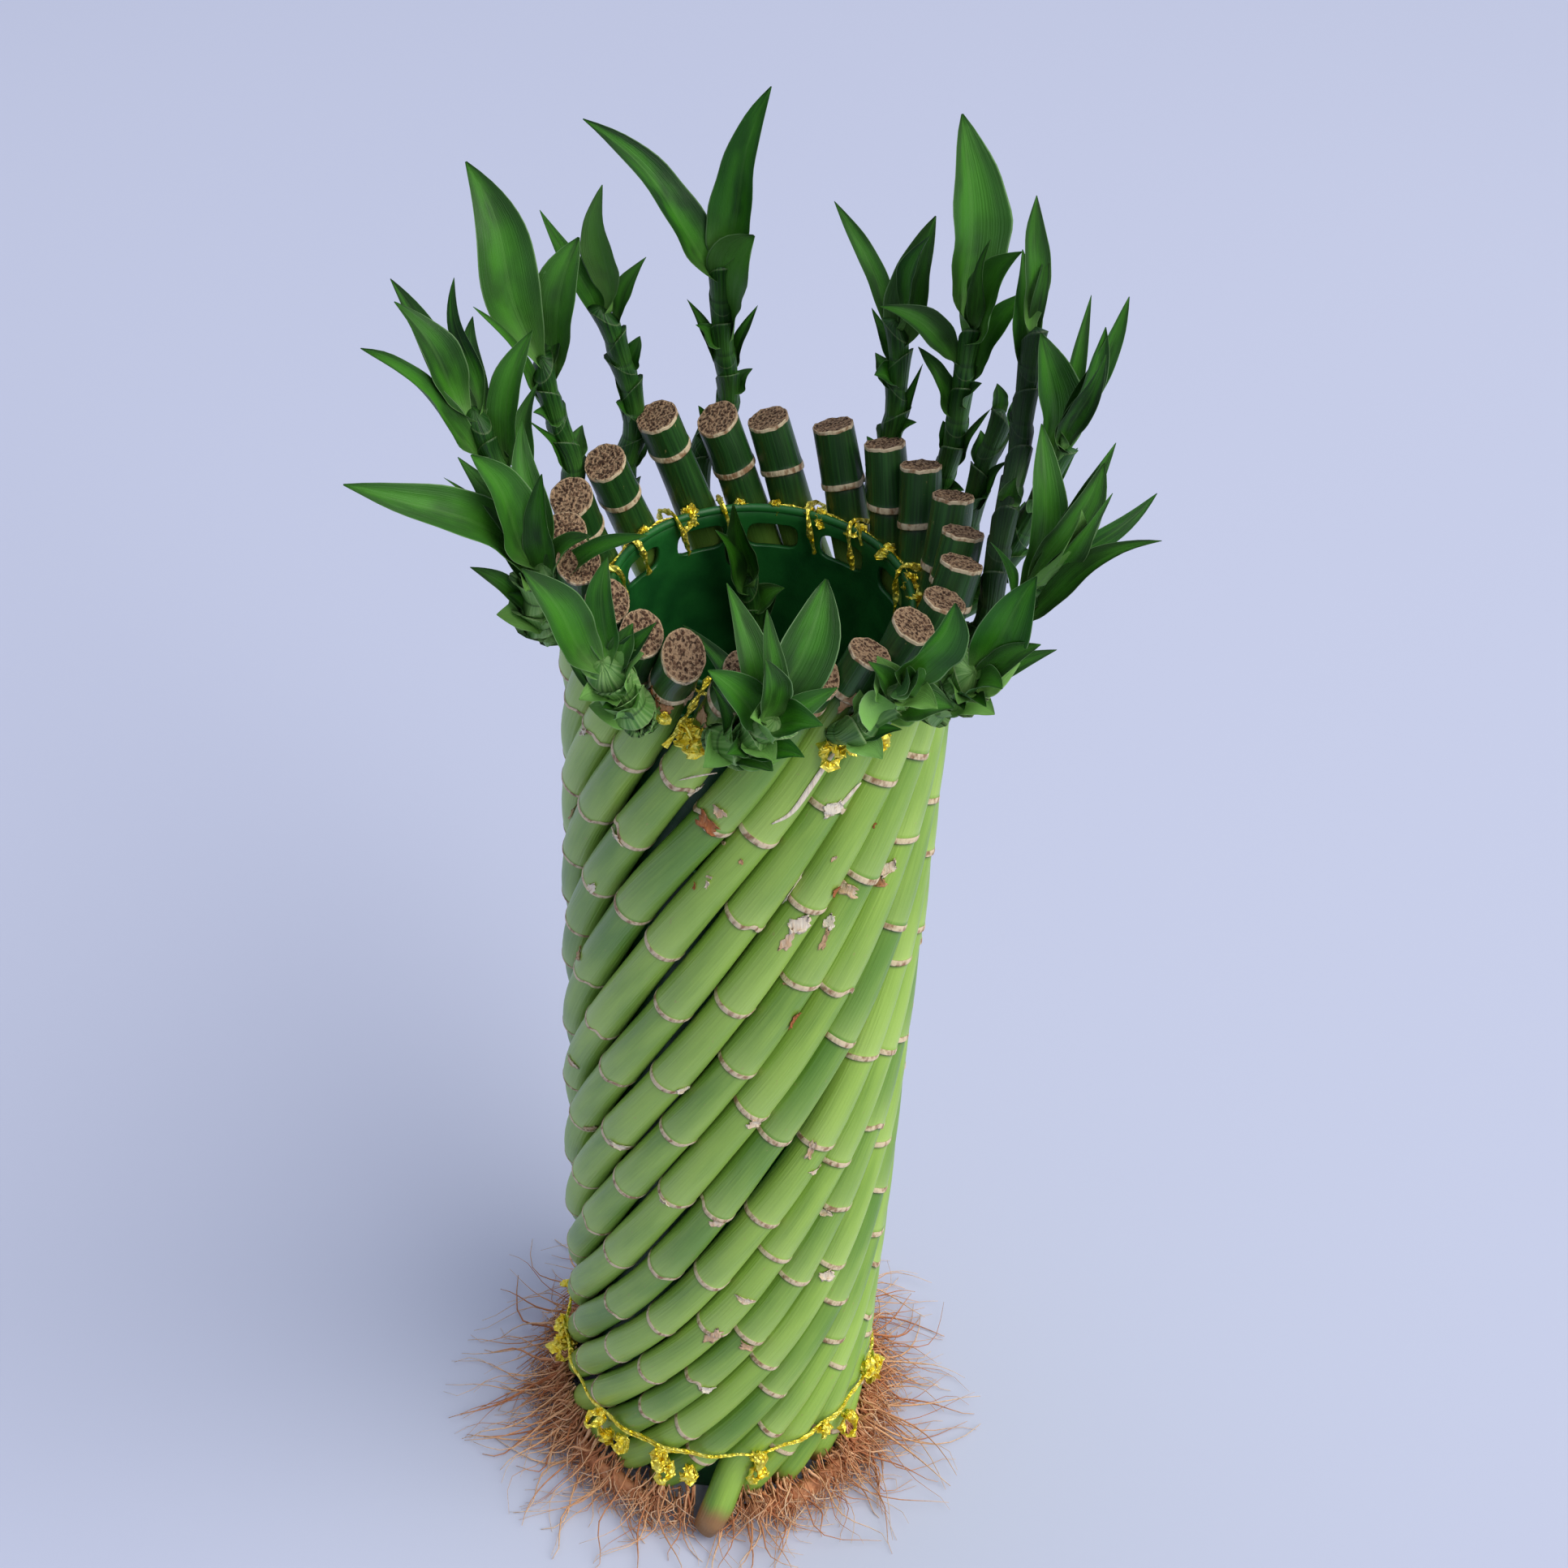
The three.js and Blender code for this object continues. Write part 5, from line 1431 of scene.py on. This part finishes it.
def strand_shell(seed, start, end):
    """A tapering tube. It leaves at a chance height and sinks as (1 - s)^2, while it curls
    round with two sine waves that grow along it."""
    s = np.linspace(0, 1, ROOTS["rows"])
    draws = chance(seed, np.arange(15))
    long_one = draws[1] > 0.72
    reach = (12 + 34 * draws[2] ** 1.6) if long_one else (4 + 13 * draws[2])
    azimuth = start + (end - start) * draws[3] + (10 + 16 * s * long_one) * (draws[4] - 0.5) * s
    reach = reach * (1 - 0.28 * np.cos(np.radians(azimuth[0])) ** 2)
    curl = (2 + 5 * draws[5]) * s * np.sin(5 * s * (0.6 + draws[6]) + ANY_PHASE * draws[7])
    radius = 51 + 4 * draws[8] + reach * s**0.9
    float_up = (6 * draws[10] ** 2 + 8 * (draws[11] > 0.8)) * np.sin(np.pi * np.minimum(s * 0.8, 1))
    height = 0.8 + (2 + 15 * draws[9]) * (1 - s) ** 2 + float_up * (0.5 if long_one else 1)
    height = height + 0.7 * np.sin(9 * s + ANY_PHASE * draws[12]) * s
    points = place(azimuth + np.degrees(curl / radius), radius, np.maximum(height, 0.5))
    out, across = frame_on(unit(np.gradient(points, axis=0)), np.array([0.05, 0.03, 1.0]))
    thick = around((0.26 + 0.45 * draws[13] ** 2) * (1 - 0.75 * s), ROOTS["sides"])
    rows = ring_round(points, out, across, thick, ring_angles(ROOTS["sides"]))
    return closed_tube(rows, reached=around(s, ROOTS["sides"]), tone=np.full(thick.shape, draws[14]))


def mat_shell(clump, start, end):
    """A low lumpy ridge along the stalks' feet, under the strands."""
    steps = np.linspace(0, 1, MAT["rows"])[:, None]
    turns = ring_angles(MAT["sides"])
    swell = np.sin(np.pi * np.clip(steps, 0.02, 0.98)) ** 0.35
    lump = 0.85 + 0.3 * chance(clump * 50 + np.arange(MAT["rows"])[:, None], np.round(turns * 3, 2))
    radius = MAT["radius"] + MAT["wide"] * swell * lump * np.cos(turns)
    height = MAT["height"] + MAT["tall"] * swell * lump * np.sin(turns)
    rows = place(start + (end - start) * steps, radius, height)
    return closed_tube(rows[::-1], reached=np.zeros(radius.shape), tone=0.6 * lump - 0.3)


print("points in a strand:", ROOTS["rows"] * ROOTS["sides"] + 2)

# %% Seven clumps
# Degrees that are left free at the slipped stalk and between clumps, the degrees by which
# strands spread past their mat, and how far they close round the slipped stalk.
ROOT_GAPS = {"slipped": 14, "between": 5, "before": 2, "after": 6, "closing": 8}

first = stalk_azimuth(SLIPPED["stalk"], FOOT["lowest"]) + ROOT_GAPS["slipped"]
span = (360 - 2 * ROOT_GAPS["slipped"]) / ROOTS["clumps"]
for clump in range(ROOTS["clumps"]):
    start = first + clump * span
    end = start + span - ROOT_GAPS["between"]
    closing = ROOT_GAPS["closing"] if clump in (0, ROOTS["clumps"] - 1) else 0
    low, high = start - ROOT_GAPS["before"] - closing, end + ROOT_GAPS["after"] + closing
    strands = [strand_shell(clump * 1000 + strand, low, high) for strand in range(ROOTS["strands"])]
    shells = [mat_shell(clump, start, end), *strands]
    number = f"{clump + 1:02d}"
    put_in("root_tangle_" + number, shells, ROOT_HAIR, "root", "roots_" + number)
print("root strands:", ROOTS["clumps"] * ROOTS["strands"])

# %% [markdown]
# ## The set
# The tower stands on a seamless pale lavender sheet in soft daylight that comes from the
# right and above. Two large lamps and a pale sky are enough for that.

# %% Floor and sky
FLOOR_HALF = 8
SKY_COLOR = (200, 207, 232)
SKY_STRENGTH = 0.55
paint = Paint("pale_sheet", {"Specular IOR Level": 0.2})
wash = paint.noise(paint.object_place(), 1.2, 1.0)
sheet_color = paint.mix(wash, (194, 200, 220), (199, 204, 223))
PALE_SHEET = paint.finish(sheet_color, 0.9 + wash * 0.05, wash, 0.0001)
floor_mesh = bpy.data.meshes.new("floor")
corners = [(x * FLOOR_HALF, y * FLOOR_HALF, 0) for x, y in ((-1, -1), (1, -1), (1, 1), (-1, 1))]
floor_mesh.from_pydata(corners, [], [(0, 1, 2, 3)])
floor_mesh.materials.append(PALE_SHEET)
floor = add_object("floor", floor_mesh)

world = bpy.data.worlds.new("sky")
world.use_nodes = True
sky = world.node_tree.nodes["Background"]
sky.inputs["Color"].default_value = shade(SKY_COLOR)
sky.inputs["Strength"].default_value = SKY_STRENGTH
bpy.context.scene.world = world
bpy.context.scene.view_settings.view_transform = "Standard"
print("the floor is", tuple(floor.dimensions), "metres")


# %% Two lamps
# Name, place in metres, size in metres, watts and colour.
LAMPS = [
    ("window", (4.4, -2.2, 4.9), 7, 545, (253, 250, 244)),
    ("ceiling", (-0.4, 0.5, 2.3), 1.8, 10, (240, 243, 255)),
]
LIT_PLACE = Vector((0, 0, 0.25))


def hang_lamp(name, position, size, watts, color):
    """A square lamp that faces the middle of the tower."""
    data = bpy.data.lights.new(name, "AREA")
    data.size = size
    data.energy = watts
    data.color = shade(color)[:3]
    lamp = add_object(name, data)
    lamp.location = position
    toward = LIT_PLACE - lamp.location
    lamp.rotation_euler = toward.to_track_quat("-Z", "Y").to_euler()


for lamp in LAMPS:
    hang_lamp(*lamp)
print("lamps:", len(LAMPS))

# %% [markdown]
